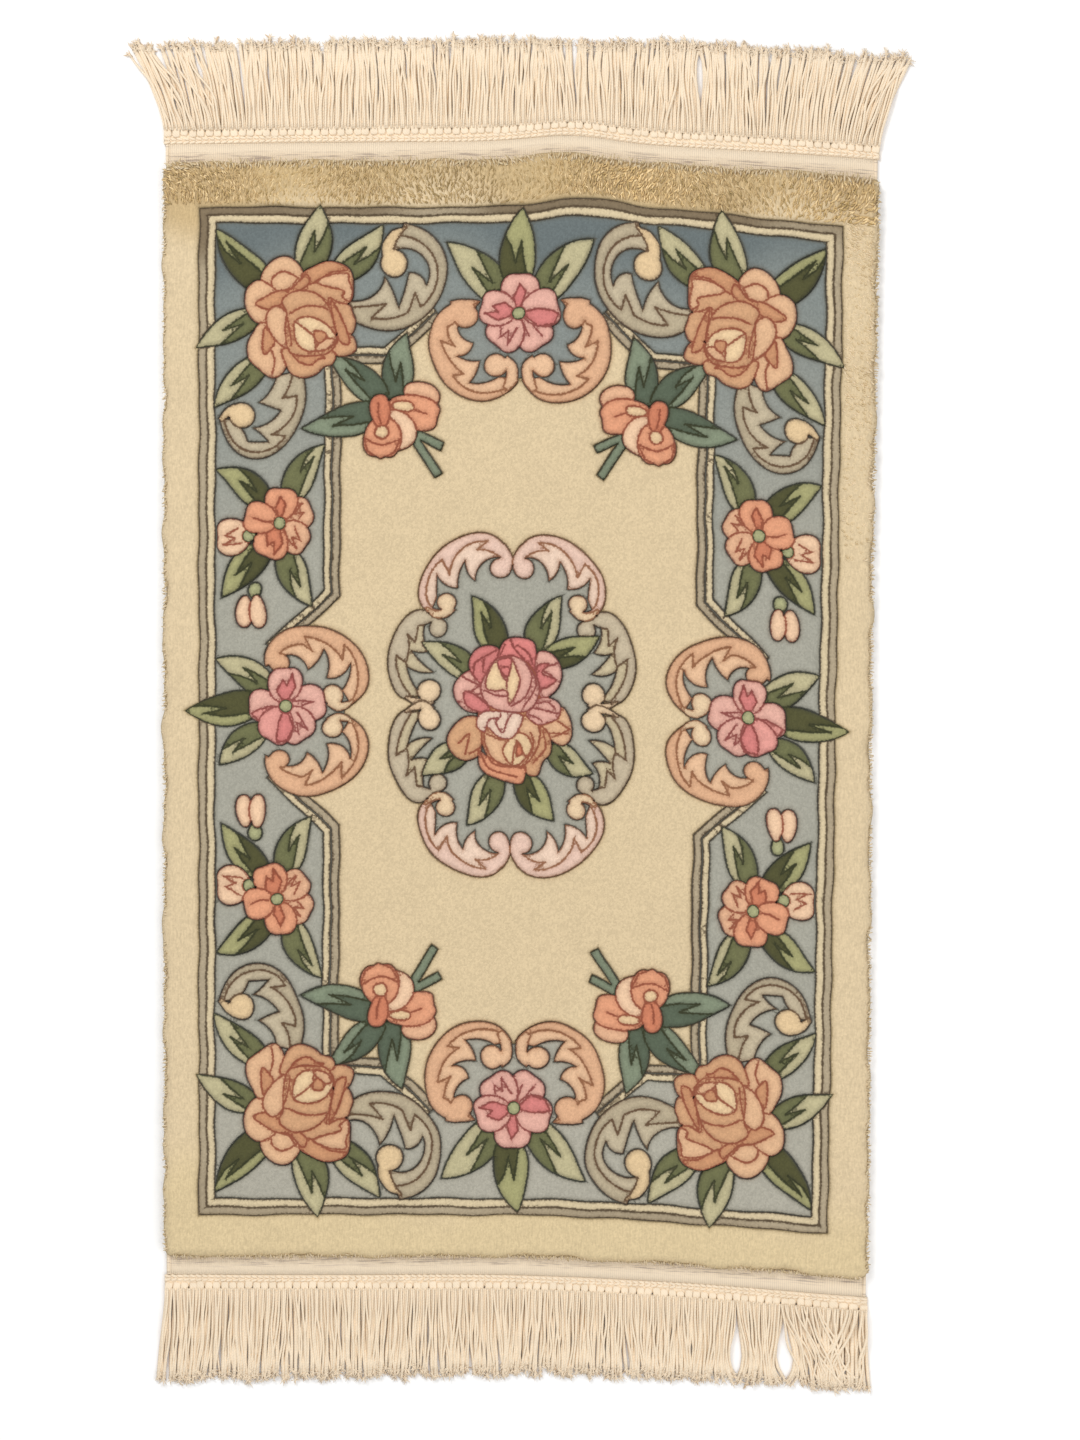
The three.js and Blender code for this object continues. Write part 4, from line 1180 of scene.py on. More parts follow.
        low, reach = np.tile(cuts.low, len(shares)), np.tile(cuts.reach, len(shares))
        tops = np.array([self.height(i) for i in range(len(self.zones))])
        domes = np.array([DOMES_MM.get(z.family, 0.0) for z in self.zones])
        owner = np.zeros(len(fine.points), dtype=int)
        owner[fine.faces.ravel()] = np.repeat(fine.zone, 3)
        found = [tree.find((x, y, 0)) for x, y in fine.points]
        near = np.array([f[1] for f in found])
        distance = np.array([f[2] for f in found])
        rise = 1 - (1 - np.minimum(distance / reach[near], 1.0)) ** ROUNDING
        dome = domes[owner] * np.exp(-distance / 4) * (distance > 0.3)
        height = low[near] + (tops[owner] - low[near]) * rise - dome
        corner_low = np.full(cuts.corners, 99.0)
        np.minimum.at(corner_low, cuts.pairs[on_seam].ravel(), np.repeat(cuts.low[on_seam], 2))
        height[: cuts.corners] = corner_low
        distance[: cuts.corners] = 0.0
        x, y = fine.points.T
        sway = 0.35 * np.sin(x / 31 + y / 57) + 0.3 * np.sin(x / 73 - y / 41 + 1.3)
        sway = sway + 0.2 * np.sin(x / 17 + y / 23)
        height += (sway + rng.normal(0, 0.05, len(x))) * np.clip(distance / 2.0, 0.0, 1.0)
        return self.pieces(fine, base, height, distance)

    def free_points(self, rng: Random, a: Points, b: Points, tree: KDTree) -> Points:
        """Makes the points off the carved lines: rows beside each line, and a loose grid.

        Args:
            rng: for the grid's unevenness.
            a: the first end of each leg of the lines.
            b: its other end.
            tree: a search tree of the lines.

        Returns:
            Rows of drawn x and y.
        """
        normal = (b - a)[:, ::-1] * np.array([1, -1])
        normal /= np.maximum(np.linalg.norm(normal, axis=1), 1e-9)[:, None]
        middle = (a + b) / 2
        kept = []
        for gap, cell in zip(self.ring_steps, (1.15, 2.3)):
            ring = np.vstack([middle + normal * gap, middle - normal * gap])
            kept.append(self.thinned(ring, cell, gap * 0.82, tree))
        s = SIZES
        xs = np.arange(-s.pile_half_width, s.pile_half_width, self.grid_step)
        ys = np.arange(-s.pile_half_length, s.pile_half_length, self.grid_step * 0.87)
        gx, gy = np.meshgrid(xs, ys)
        gx = gx + (np.arange(len(ys)) % 2)[:, None] * self.grid_step / 2
        grid = columns(gx.ravel(), gy.ravel()) + rng.uniform(-0.7, 0.7, (gx.size, 2))
        kept.append(self.thinned(grid, 0.01, self.ring_steps[1] + 1.0, tree))
        return np.vstack(kept)

    def thinned(self, points: Points, cell: float, clear: float, tree: KDTree) -> Points:
        """Keeps one point a cell, and only those clear of every carved line.

        Args:
            points: rows of drawn x and y.
            cell: a cell's size in millimetres.
            clear: how far from the lines they have to be.
            tree: a search tree of the lines.

        Returns:
            The points kept.
        """
        _, first = np.unique(np.round(points / cell).astype(int), axis=0, return_index=True)
        points = points[np.sort(first)]
        far = np.array([tree.find((x, y, 0))[2] for x, y in points])
        return points[far > clear]

    def labelled(
        self, points: Points, edges: Points, corners: int, coarse: Triangles, finder: BVHTree
    ) -> Triangles:
        """Triangulates points along fixed edges, and looks up each triangle's area in the drawn pattern.

        Args:
            points: rows of drawn x and y, the corners of the carved lines first.
            edges: pairs of point numbers that stay edges.
            corners: how many points keep their numbers.
            coarse: the drawn pattern.
            finder: the drawn pattern's search tree.

        Returns:
            The triangles inside the pattern.
        """
        flat = [Vector(p) for p in points]
        verts, _, tris, origin, _, _ = delaunay_2d_cdt(flat, edges.tolist(), [], 0, 1e-5, True)
        number = np.full(len(verts), -1)
        for i, source in enumerate(origin):
            first = min(source, default=-1)
            number[i] = first if first < corners else -1
        rest = number < 0
        number[rest] = np.arange(rest.sum()) + corners
        spots = np.zeros((number.max() + 1, 2))
        spots[number] = np.array([v[:] for v in verts])
        faces = number[np.array(tris)]
        zone = np.full(len(faces), -1)
        for i, (x, y) in enumerate(spots[faces].mean(axis=1)):
            index = finder.ray_cast((x, y, 1), (0, 0, -1))[2]
            if index is not None:
                zone[i] = coarse.zone[index]
        return Triangles(spots, faces[zone >= 0], zone[zone >= 0])

    def pieces(self, fine: Triangles, base: Triangles, height: Points, distance: Points) -> list[Piece]:
        """Closes each family of areas into a piece with its own walls and underside.

        Args:
            fine: the triangles of the top.
            base: the triangles of the underside.
            height: millimetres above the floor, one a point.
            distance: millimetres from a carved line, one a point.

        Returns:
            One object for each family.
        """
        families = list(Family)
        kind = np.array([families.index(z.family) for z in self.zones])
        made = []
        for number, family in enumerate(families):
            top = kind[fine.zone] == number
            foot = kind[base.zone] == number
            upper = Triangles(fine.points, fine.faces[top], fine.zone[top])
            lower = Triangles(fine.points, base.faces[foot], base.zone[foot])
            made.append(self.piece(family, upper, lower, height, distance))
        return made

    def piece(
        self, family: Family, upper: Triangles, lower: Triangles, height: Points, distance: Points
    ) -> Piece:
        """Makes one closed piece of pile from its top faces and its coarser underside.

        Args:
            family: which piece it is.
            upper: its triangles on top.
            lower: its triangles underneath.
            height: millimetres above the floor, one a point.
            distance: millimetres from a carved line, one a point.

        Returns:
            The object.
        """
        n = len(upper.points)
        sides, owner = edges_of(upper.faces), np.tile(upper.zone, 3)
        rim = is_rim(sides, n)
        walls, wall_zone = sides[rim], owner[rim]
        top_used = np.unique(upper.faces)
        low_used = np.unique(np.concatenate([lower.faces.ravel(), walls.ravel()]))
        top_of, low_of = np.full(n, -1), np.full(n, -1)
        top_of[top_used] = np.arange(len(top_used))
        low_of[low_used] = np.arange(len(low_used)) + len(top_used)
        a, b = walls.T
        faces = np.vstack([
            top_of[upper.faces],
            columns(top_of[b], top_of[a], low_of[a]),
            columns(top_of[b], low_of[a], low_of[b]),
            low_of[lower.faces[:, ::-1]],
        ])
        drawn = np.vstack([upper.points[top_used], upper.points[low_used]])
        tall = np.concatenate([height[top_used], np.full(len(low_used), self.bottom)])
        far = np.concatenate([distance[top_used], np.zeros(len(low_used))])
        zone = np.concatenate([upper.zone, wall_zone, wall_zone, lower.zone])
        made = mesh_object(family.value, self.floor.place(drawn, tall), faces, drawn)
        self.paint(made, drawn, faces, zone, far)
        LOG.info("%s: %d triangles, %d faulty edges", family.value, len(faces), edge_faults(faces))
        return made

    def paint(self, made: Piece, drawn: Points, faces: Points, zone: Points, far: Points) -> None:
        """Writes the wool with its painted nap shade, the painted shade of its carved line, and the distance
        to a carved line on every face corner.

        Args:
            made: the piece.
            drawn: rows of drawn x and y.
            faces: rows of three point numbers.
            zone: the zone of each face.
            far: millimetres from a carved line, one a point.
        """
        yarns = np.array([linear(z.yarn.value)[:3] for z in self.zones])
        shades = np.array([linear(z.seam.value)[:3] for z in self.zones])
        colour = np.repeat(yarns[zone], 3, axis=0)
        x, y = drawn[faces.ravel()].T
        # paints the nap's light and shade into the wool towards the ends
        for fade in NAP_FADES:
            like = np.repeat(np.array([z.yarn is fade.yarn for z in self.zones])[zone], 3)
            share = fade.share(x, y) * like
            colour = colour + (np.array(linear(fade.to.value)[:3]) - colour) * share[:, None]
        write_wool(made.data, colour, np.repeat(shades[zone], 3, axis=0), far[faces.ravel()])


def cross(a: Points, b: Points) -> Points:
    """Returns the flat cross products of rows."""
    return a[:, 0] * b[:, 1] - a[:, 1] * b[:, 0]


def dense_line(line: Points, step: float) -> Points:
    """Adds points along an open line so that no leg is longer than a step."""
    rows = []
    for a, b in zip(line, line[1:]):
        rows.append(np.linspace(a, b, max(1, math.ceil(np.linalg.norm(b - a) / step)), endpoint=False))
    return np.vstack([*rows, line[-1:]])


def hand_cut(points: Points) -> Points:
    """Lets drawn points wander as a hand-cut line does, by up to about a millimetre."""
    x, y = points.T
    dx = 0.45 * np.sin(x / 9.7 + y / 14.3) + 0.4 * np.sin(y / 7.1 - x / 23)
    dx = dx + 0.3 * np.sin(y / 31 + x / 19 + 2)
    dy = 0.45 * np.sin(y / 8.9 - x / 15.1 + 1) + 0.4 * np.sin(x / 7.7 + y / 27)
    dy = dy + 0.3 * np.sin(x / 33 - y / 21 + 4)
    return points + columns(dx, dy)


def kd_tree(points: Points) -> KDTree:
    """Makes a search tree of flat points."""
    tree = KDTree(len(points))
    for i, (x, y) in enumerate(points):
        tree.insert((x, y, 0), i)
    tree.balance()
    return tree


@dataclass(frozen=True)
class NapFade:
    """How a wool's shade drifts along the rug, where its nap leans to or from the light."""

    yarn: Yarn  # the wool that drifts
    to: Yarn  # the shade that it drifts to
    start: float  # drawn y where it begins
    end: float  # drawn y where it is complete
    most: float = 1.0  # the greatest share of the other shade

    def share(self, x: Points, y: Points) -> Points:
        """Returns the share of the other shade at drawn places."""
        wander = 18 * np.sin(x / 61) + 9 * np.sin(x / 23 + 1)
        span = self.end - self.start
        t = np.clip((y + wander * np.sign(span) - self.start) / span, 0, 1)
        return self.most * t * t * (3 - 2 * t)


# painted light and shade: where each wool turns to a darker or paler copy along the rug, as its nap leans to
# or from the light
NAP_FADES = (
    NapFade(Yarn.PLUSH, Yarn.PLUSH_FAR_NAP_SHADE, 420, 455),
    NapFade(Yarn.PLUSH, Yarn.PLUSH_NEAR_NAP_LIGHT, -380, -440),
    NapFade(Yarn.BLUE, Yarn.BLUE_FAR_NAP_SHADE, 90, 400),
    NapFade(Yarn.BLUE, Yarn.BLUE_EDGE_NAP_SHADE, 370, 415, 0.7),
    NapFade(Yarn.BLUE, Yarn.BLUE_NEAR_NAP_LIGHT, -200, -400),
    NapFade(Yarn.GREY_LINE, Yarn.GREY_LINE_FAR_NAP_SHADE, 400, 432),
    NapFade(Yarn.GREY_LINE, Yarn.GREY_LINE_FAR_NAP_SHADE, -405, -432, 0.25),
)


def edge_faults(faces: Points) -> int:
    """Counts the edges that don't have exactly two faces."""
    pairs = np.sort(edges_of(faces), axis=1)
    _, counts = np.unique(pairs, axis=0, return_counts=True)
    return int(np.sum(counts != 2))


def write_wool(mesh: bpy.types.Mesh, yarn: Points, seam: Points, rim: Points) -> None:
    """Writes the wool, the painted shade of the carved line and the distance to a carved line on every face
    corner.
    """
    for name, colour in (("yarn", yarn), ("seam", seam)):
        layer = mesh.color_attributes.new(name, "FLOAT_COLOR", "CORNER")
        rows = np.ones((len(colour), 4), dtype=np.float32)
        rows[:, :3] = colour
        layer.data.foreach_set("color", rows.ravel())
    mesh.attributes.new("rim", "FLOAT", "CORNER").data.foreach_set("value", rim.astype(np.float32))


def placed(name: str, data: bpy.types.ID) -> Piece:
    """Links a new object with some data to the scene."""
    made = bpy.data.objects.new(name, data)
    bpy.context.scene.collection.objects.link(made)
    return made


def mesh_object(name: str, verts: Points, faces: Points | list, drawn: Points) -> Piece:
    """Makes an object from triangles, with its drawn places in metres as a UV map.

    Args:
        name: the piece's name.
        verts: rows of x, y and z in metres.
        faces: rows of three vertex numbers.
        drawn: rows of drawn x and y in millimetres, one a vertex.

    Returns:
        The object, at the origin.
    """
    faces = np.asarray(faces)
    mesh = bpy.data.meshes.new(name)
    mesh.vertices.add(len(verts))
    mesh.vertices.foreach_set("co", np.asarray(verts, dtype=np.float32).ravel())
    mesh.loops.add(faces.size)
    mesh.loops.foreach_set("vertex_index", faces.ravel().astype(np.int32))
    mesh.polygons.add(len(faces))
    mesh.polygons.foreach_set("loop_start", np.arange(0, faces.size, 3, dtype=np.int32))
    mesh.polygons.foreach_set("use_smooth", np.ones(len(faces), dtype=bool))
    mesh.update(calc_edges=True)
    layer = mesh.uv_layers.new(name="cloth")
    layer.data.foreach_set("uv", (drawn[faces.ravel()] * MM).astype(np.float32).ravel())
    return placed(name, mesh)


# settings that several nodes share: a smooth ramp (1 to 2 becomes 3 to 4), and flat noise of about 0.5
RAMP = {"interpolation_type": "SMOOTHSTEP"}
NOISE = {"noise_dimensions": "2D", "Scale": 1.0, "Detail": 3.0, "Roughness": 0.6}
BANDS = {"wave_type": "BANDS"}


def per_mm(across: float, along: float) -> Triple:
    """Returns the scale that makes a pattern's patches so many millimetres across and along the rug."""
    return (1 / (across * MM), 1 / (along * MM), 1)


def ridges_per_mm(pitch: float) -> float:
    """Returns the scale that sets a wave's ridges some millimetres apart."""
    return 0.314 / (pitch * MM)


class Paint:
    """One material with its nodes."""

    def __init__(self, name: str) -> None:
        """Starts a material and reads the drawn places of its piece."""
        self.made = bpy.data.materials.new(name)
        self.made.use_nodes = True
        self.made.node_tree.nodes.clear()
        self.cloth = self.add("ShaderNodeUVMap", {"uv_map": "cloth"}).outputs["UV"]

    def add(self, kind: str, settings: dict | None = None, links: dict | None = None) -> bpy.types.Node:
        """Adds a shader node.

        Args:
            kind: the node's type.
            settings: values by property name, or by socket name or number.
            links: output sockets by the name or number of the input that they feed.

        Returns:
            The node.
        """
        node = self.made.node_tree.nodes.new(kind)
        for name, value in (settings or {}).items():
            if isinstance(name, str) and hasattr(node, name):
                setattr(node, name, value)
            else:
                node.inputs[name].default_value = value
        for name, socket in (links or {}).items():
            self.made.node_tree.links.new(socket, node.inputs[name])
        return node

    def finish(self, colour: Socket, relief: Socket, depth: float, settings: dict) -> bpy.types.Material:
        """Ends the material.

        Args:
            colour: its base colour.
            relief: the height of its surface, 0 to 1.
            depth: millimetres of that relief.
            settings: the shader's own values.

        Returns:
            The material.
        """
        bump = self.add("ShaderNodeBump", {"Strength": 0.8, "Distance": depth * MM}, {"Height": relief})
        links = {"Base Color": colour, "Normal": bump.outputs[0]}
        shader = self.add("ShaderNodeBsdfPrincipled", settings, links)
        self.add("ShaderNodeOutputMaterial", links={"Surface": shader.outputs[0]})
        return self.made


@dataclass(frozen=True)
class WoolPile:
    """Cut wool pile: short upright tufts, each knot a soft dome, with a matt face and a faint sheen."""

    name: str  # the material's name
    tuft: float = 1.5  # millimetres across a knot's tuft, drawn a little coarse so that it shows
    stroke: Pair = (5.0, 1.6)  # millimetres of a nap stroke along and across
    fleck: float = 0.08  # how much tufts differ in shade
    strokes: float = 0.035  # how much nap strokes differ in shade
    far_strokes: float = 0.035  # the same where the nap leans at the far end
    relief: float = 0.32  # millimetres that the tufts stand out

    def material(self) -> bpy.types.Material:
        """Builds the wool."""
        paint = Paint(self.name)
        add, cloth = paint.add, {"Vector": paint.cloth}
        yarn = add("ShaderNodeAttribute", {"attribute_name": "yarn"}).outputs["Color"]
        seam = add("ShaderNodeAttribute", {"attribute_name": "seam"}).outputs["Color"]
        rim = add("ShaderNodeAttribute", {"attribute_name": "rim"}).outputs["Fac"]
        knots = {"voronoi_dimensions": "2D", "Scale": 1 / (self.tuft * MM), "Randomness": 0.9}
        tuft = add("ShaderNodeTexVoronoi", knots, cloth)
        shade = add("ShaderNodeSeparateColor", links={0: tuft.outputs["Color"]}).outputs[0]
        far = add("ShaderNodeSeparateXYZ", links={0: paint.cloth}).outputs["Y"]

        # nap strokes, painted light and shade of the leaning tufts, stronger past the far frame line
        leaning = {"Rotation": (0, 0, 0.15), "Scale": per_mm(self.stroke[1], self.stroke[0])}
        place = add("ShaderNodeMapping", leaning, cloth)
        bent = {**NOISE, "Detail": 2.0, "Distortion": 0.5}
        nap = add("ShaderNodeTexNoise", bent, {"Vector": place.outputs[0]}).outputs["Fac"]
        lean = add("ShaderNodeMapRange", {**RAMP, 1: 0.28, 2: 0.72, 3: -1.0, 4: 1.0}, {0: nap})
        most = {**RAMP, 1: 0.435, 2: 0.455, 3: self.strokes, 4: self.far_strokes}
        amount = add("ShaderNodeMapRange", most, {0: far})
        links = {0: lean.outputs[0], 1: amount.outputs[0]}
        stroke_shade = add("ShaderNodeMath", {"operation": "MULTIPLY_ADD", 2: 1.0}, links)

        # each knot's own shade, and soft clouds 40 mm across
        flecks = {**RAMP, 1: 0, 2: 1, 3: 1 - self.fleck, 4: 1 + self.fleck * 0.75}
        flecked = add("ShaderNodeMapRange", flecks, {0: shade})
        place = add("ShaderNodeMapping", {"Scale": per_mm(40, 40)}, cloth)
        cloud = add("ShaderNodeTexNoise", NOISE, {"Vector": place.outputs[0]}).outputs["Fac"]
        clouded = add("ShaderNodeMapRange", {**RAMP, 1: 0.3, 2: 0.7, 3: 0.985, 4: 1.015}, {0: cloud})
        links = {0: flecked.outputs[0], 1: stroke_shade.outputs[0]}
        both = add("ShaderNodeMath", {"operation": "MULTIPLY"}, links)
        links = {0: both.outputs[0], 1: clouded.outputs[0]}
        level = add("ShaderNodeMath", {"operation": "MULTIPLY"}, links).outputs[0]

        # painted shade: the carved line's dark bottom, ragged by the knots, and a fainter painted shade up
        # its slope
        ragged = add("ShaderNodeMath", {"operation": "MULTIPLY_ADD", 1: 0.8}, {0: shade, 2: rim}).outputs[0]
        line = add("ShaderNodeMapRange", {**RAMP, 1: 0.7, 2: 2.3, 3: 0.95, 4: 0.0}, {0: ragged}).outputs[0]
        slope = add("ShaderNodeMapRange", {**RAMP, 1: 0.8, 2: 5.0, 3: 0.2, 4: 0.0}, {0: rim}).outputs[0]
        depth = add("ShaderNodeMath", {"operation": "MAXIMUM"}, {0: line, 1: slope}).outputs[0]
        wool = add("ShaderNodeVectorMath", {"operation": "SCALE"}, {0: yarn, "Scale": level}).outputs[0]
        colour = add("ShaderNodeMix", {"data_type": "RGBA"}, {0: depth, 6: wool, 7: seam}).outputs[2]
        links = {0: tuft.outputs["Distance"], 2: nap}
        mound = add("ShaderNodeMath", {"operation": "MULTIPLY_ADD", 1: -0.8}, links).outputs[0]
        matt = {"Roughness": 0.95, "Specular IOR Level": 0.15, "Sheen Weight": 0.12, "Sheen Roughness": 0.6}
        return paint.finish(colour, mound, self.relief, matt)


@dataclass(frozen=True)
class CottonYarn:
    """Plied undyed cotton: warm off-white and matt, brown in the depths where cords shade each other."""

    name: str  # the material's name
    colour: str = "#F6E3C8"  # sRGB hex
    deep: str = "#D0A670"  # its shade low down between cords
    ply: float = 1.2  # millimetres between the slanting ridges of its twist
    low: float = 0.0002  # height in metres that is wholly shaded
    high: float = 0.0026  # height in metres that is wholly lit

    def material(self) -> bpy.types.Material:
        """Builds the cotton."""
        paint = Paint(self.name)
        add, cloth = paint.add, {"Vector": paint.cloth}
        twist = {"bands_direction": "DIAGONAL", "Scale": ridges_per_mm(self.ply), "Distortion": 1.5}
        ridges = add("ShaderNodeTexWave", {**BANDS, **twist}, cloth).outputs["Fac"]
        spot = add("ShaderNodeTexCoord").outputs["Object"]
        height = add("ShaderNodeSeparateXYZ", links={0: spot}).outputs["Z"]
        lit = add("ShaderNodeMapRange", {**RAMP, 1: self.low, 2: self.high, 3: 0.0, 4: 1.0}, {0: height})
        place = add("ShaderNodeMapping", {"Scale": per_mm(9, 14)}, cloth)
        cloud = add("ShaderNodeTexNoise", NOISE, {"Vector": place.outputs[0]}).outputs["Fac"]
        level = add("ShaderNodeMapRange", {**RAMP, 1: 0.3, 2: 0.7, 3: 0.95, 4: 1.03}, {0: cloud})
        ply = add("ShaderNodeMapRange", {**RAMP, 1: 0, 2: 1, 3: 0.95, 4: 1.0}, {0: ridges})
        links = {0: level.outputs[0], 1: ply.outputs[0]}
        worn = add("ShaderNodeMath", {"operation": "MULTIPLY"}, links).outputs[0]
        shades = {"data_type": "RGBA", 6: linear(self.deep), 7: linear(self.colour)}
        base = add("ShaderNodeMix", shades, {0: lit.outputs[0]}).outputs[2]
        colour = add("ShaderNodeVectorMath", {"operation": "SCALE"}, {0: base, "Scale": worn}).outputs[0]
        matt = {"Roughness": 0.85, "Specular IOR Level": 0.2, "Sheen Weight": 0.1}
        return paint.finish(colour, ridges, 0.14, matt)


@dataclass(frozen=True)
class WovenCotton:
    """Flat-woven cotton: fine ribs along the warps, and thin grey streaks near the pile."""

    name: str  # the material's name
    colour: str = "#F2DFC4"  # sRGB hex
    streak: str = "#A8968A"  # sRGB hex of the streaks
    warp: float = 1.76  # millimetres between warps
    weft: float = 0.9  # millimetres between wefts

    def material(self) -> bpy.types.Material:
        """Builds the woven band."""
        paint = Paint(self.name)
        add, cloth = paint.add, {"Vector": paint.cloth}
        wefts = {"bands_direction": "Y", "Scale": ridges_per_mm(self.weft), "Distortion": 0.6}
        warps = {"bands_direction": "X", "Scale": ridges_per_mm(self.warp), "Distortion": 0.4}
        rows = [add("ShaderNodeTexWave", {**BANDS, **way}, cloth).outputs["Fac"] for way in (wefts, warps)]
        halved = {"operation": "MULTIPLY_ADD", 1: 0.5}
        weave = add("ShaderNodeMath", halved, {0: rows[0], 2: rows[1]}).outputs[0]
        far = add("ShaderNodeSeparateXYZ", links={0: paint.cloth}).outputs["Y"]
        apart = add("ShaderNodeMath", {"operation": "ABSOLUTE"}, {0: far}).outputs[0]
        near = add("ShaderNodeMapRange", {**RAMP, 1: 0.4765, 2: 0.4845, 3: 1.0, 4: 0.0}, {0: apart})
        place = add("ShaderNodeMapping", {"Scale": per_mm(30, 1.3)}, cloth)
        worn = add("ShaderNodeTexNoise", {**NOISE, "Detail": 4.0}, {"Vector": place.outputs[0]})
        thin = add("ShaderNodeMapRange", {**RAMP, 1: 0.5, 2: 0.66, 3: 0.0, 4: 0.75}, {0: worn.outputs["Fac"]})
        links = {0: near.outputs[0], 1: thin.outputs[0]}
        streaky = add("ShaderNodeMath", {"operation": "MULTIPLY"}, links).outputs[0]
        level = add("ShaderNodeMapRange", {**RAMP, 1: 0.0, 2: 1.5, 3: 0.88, 4: 1.04}, {0: weave}).outputs[0]
        shades = {"data_type": "RGBA", 6: linear(self.colour), 7: linear(self.streak)}
        base = add("ShaderNodeMix", shades, {0: streaky}).outputs[2]
        colour = add("ShaderNodeVectorMath", {"operation": "SCALE"}, {0: base, "Scale": level}).outputs[0]
        return paint.finish(colour, weave, 0.3, {"Roughness": 0.9, "Specular IOR Level": 0.2})


def ring_faces(rings: int, sides: int) -> Points:
    """Returns the faces between rings of points and to the two end points, which are numbered last."""
    i, j = np.meshgrid(np.arange(rings - 1), np.arange(sides), indexing="ij")
    p, q = (i * sides + j).ravel(), (i * sides + (j + 1) % sides).ravel()
    k, onward = np.arange(sides), np.roll(np.arange(sides), -1)
    last, end = (rings - 1) * sides, np.full(sides, rings * sides)
    caps = ((end, k, onward), (end + 1, last + onward, last + k))
    parts = ((p, q + sides, q), (p, p + sides, q + sides), *caps)
    return np.vstack([columns(*part) for part in parts])


class Solid:
    """Collects closed shapes for one joined mesh."""

    def __init__(self, floor: Floor) -> None:
        """Starts empty."""
        self.floor = floor
        self.drawn: list[Points] = []
        self.tall: list[Points] = []
        self.maps: list[Points] = []
        self.faces: list[Points] = []
        self.count = 0

    def add(self, drawn: Points, tall: Points, faces: Points, maps: Points | None = None) -> None:
        """Adds a shape in drawn millimetres.

        Args:
            drawn: rows of x and y.
            tall: millimetres above the floor.
            faces: rows of three numbers of its own points.
            maps: rows of u and v in millimetres, or None for the drawn places.
        """
        self.drawn.append(drawn)
        self.tall.append(tall)
        self.maps.append(drawn if maps is None else maps)
        self.faces.append(faces + self.count)
        self.count += len(drawn)

    def tube(self, path: Points, radii: Points, sides: int, start: float = 0.0) -> None:
        """Adds a closed tube along a path.

        Args:
            path: rows of drawn x and y and height.
            radii: its radius at each row.
            sides: how many sides it has.
            start: millimetres of its own pattern at its first end.
        """
        forward = np.gradient(path, axis=0)
        forward /= np.linalg.norm(forward, axis=1)[:, None]
        across = np.cross(forward, np.array([0.0, 0.0, 1.0]))
        across /= np.maximum(np.linalg.norm(across, axis=1), 1e-6)[:, None]
        up = np.cross(across, forward)
        a = np.arange(sides) * 2 * np.pi / sides
        ring = across[:, None, :] * np.cos(a)[None, :, None] + up[:, None, :] * np.sin(a)[None, :, None]
        body = (path[:, None, :] + ring * radii[:, None, None]).reshape(-1, 3)
        n = len(path)
        body = np.vstack([body, path[0], path[-1]])
        run = np.concatenate([[0], np.cumsum(np.linalg.norm(np.diff(path, axis=0), axis=1))]) + start
        along = np.concatenate([np.repeat(run, sides), [run[0], run[-1]]])
        round_ = np.concatenate([np.tile(np.arange(sides) * 2.6 / sides, n), [0, 0]])
        maps = columns(round_, along)
        self.add(body[:, :2], np.maximum(body[:, 2], 0.02), ring_faces(n, sides), maps)

    def ellipsoid(self, x: float, y: float, z: float, half: Triple, turn: float, power: float) -> None:
        """Adds a closed rounded block.

        Args:
            x: drawn place of its middle.
            y: drawn place of its middle.
            z: height of its middle.
            half: half its size each way.
            turn: degrees that it is turned.
            power: 1 for round, less for squarer.
        """
        rings, sides = 5, 8
        lat = np.linspace(-np.pi / 2, np.pi / 2, rings + 2)[1:-1]
        lon = np.arange(sides) * 2 * np.pi / sides + np.pi / sides

        def squared(v: Points) -> Points:
            """Pushes sines and cosines towards a block's faces."""
            return np.sign(v) * np.abs(v) ** power

        body = []
        for t in lat:
            out = squared(np.cos(t))
            body.append((out * squared(np.cos(lon)), out * squared(np.sin(lon)), t))
        flat = np.vstack([columns(bx * half[0], by * half[1]) for bx, by, _ in body] + [[[0, 0]], [[0, 0]]])
        heights = [np.full(sides, squared(np.sin(t)) * half[2]) for _, _, t in body]
        tall = np.concatenate(heights + [[-half[2]], [half[2]]])
        drawn = turned(flat, turn) + np.array([x, y])
        self.add(drawn, np.maximum(tall + z, 0.02), ring_faces(rings, sides)[:, ::-1])

    def slab(self, outline: Points, low: float, high: float, grid: float) -> None:
        """Adds a flat slab.

        Args:
            outline: its corners in drawn millimetres, anticlockwise.
            low: the height of its underside.
            high: the height of its top.
            grid: millimetres between the points inside it.
        """
        edge = dense(outline, grid)
        low_xy, high_xy = edge.min(axis=0), edge.max(axis=0)
        xs = np.arange(low_xy[0] + grid / 2, high_xy[0], grid)
        ys = np.arange(low_xy[1] + grid / 2, high_xy[1], grid)
        inner = np.array([(x, y) for x in xs for y in ys]).reshape(-1, 2)
        points = [Vector(p) for p in np.vstack([edge, inner])]
        verts, _, tris, _, _, _ = delaunay_2d_cdt(points, [], [list(range(len(edge)))], 1, 1e-4, True)
        flat = np.array([v[:] for v in verts])
        faces = np.array(tris)
        n = len(flat)
        sides = edges_of(faces)
        a, b = sides[is_rim(sides, n)].T
        walls = np.vstack([columns(b, a, a + n), columns(b, a + n, b + n)])
        both = np.vstack([flat, flat])
        tall = np.concatenate([np.full(n, high), np.full(n, low)])
        self.add(both, tall, np.vstack([faces, walls, faces[:, ::-1] + n]))

    def build(self, name: str) -> Piece:
        """Joins everything into one object."""
        drawn, tall = np.vstack(self.drawn), np.concatenate(self.tall)
        faces = np.vstack(self.faces)
        LOG.info("%s: %d triangles", name, len(faces))
        return mesh_object(name, self.floor.place(drawn, tall), faces, np.vstack(self.maps))


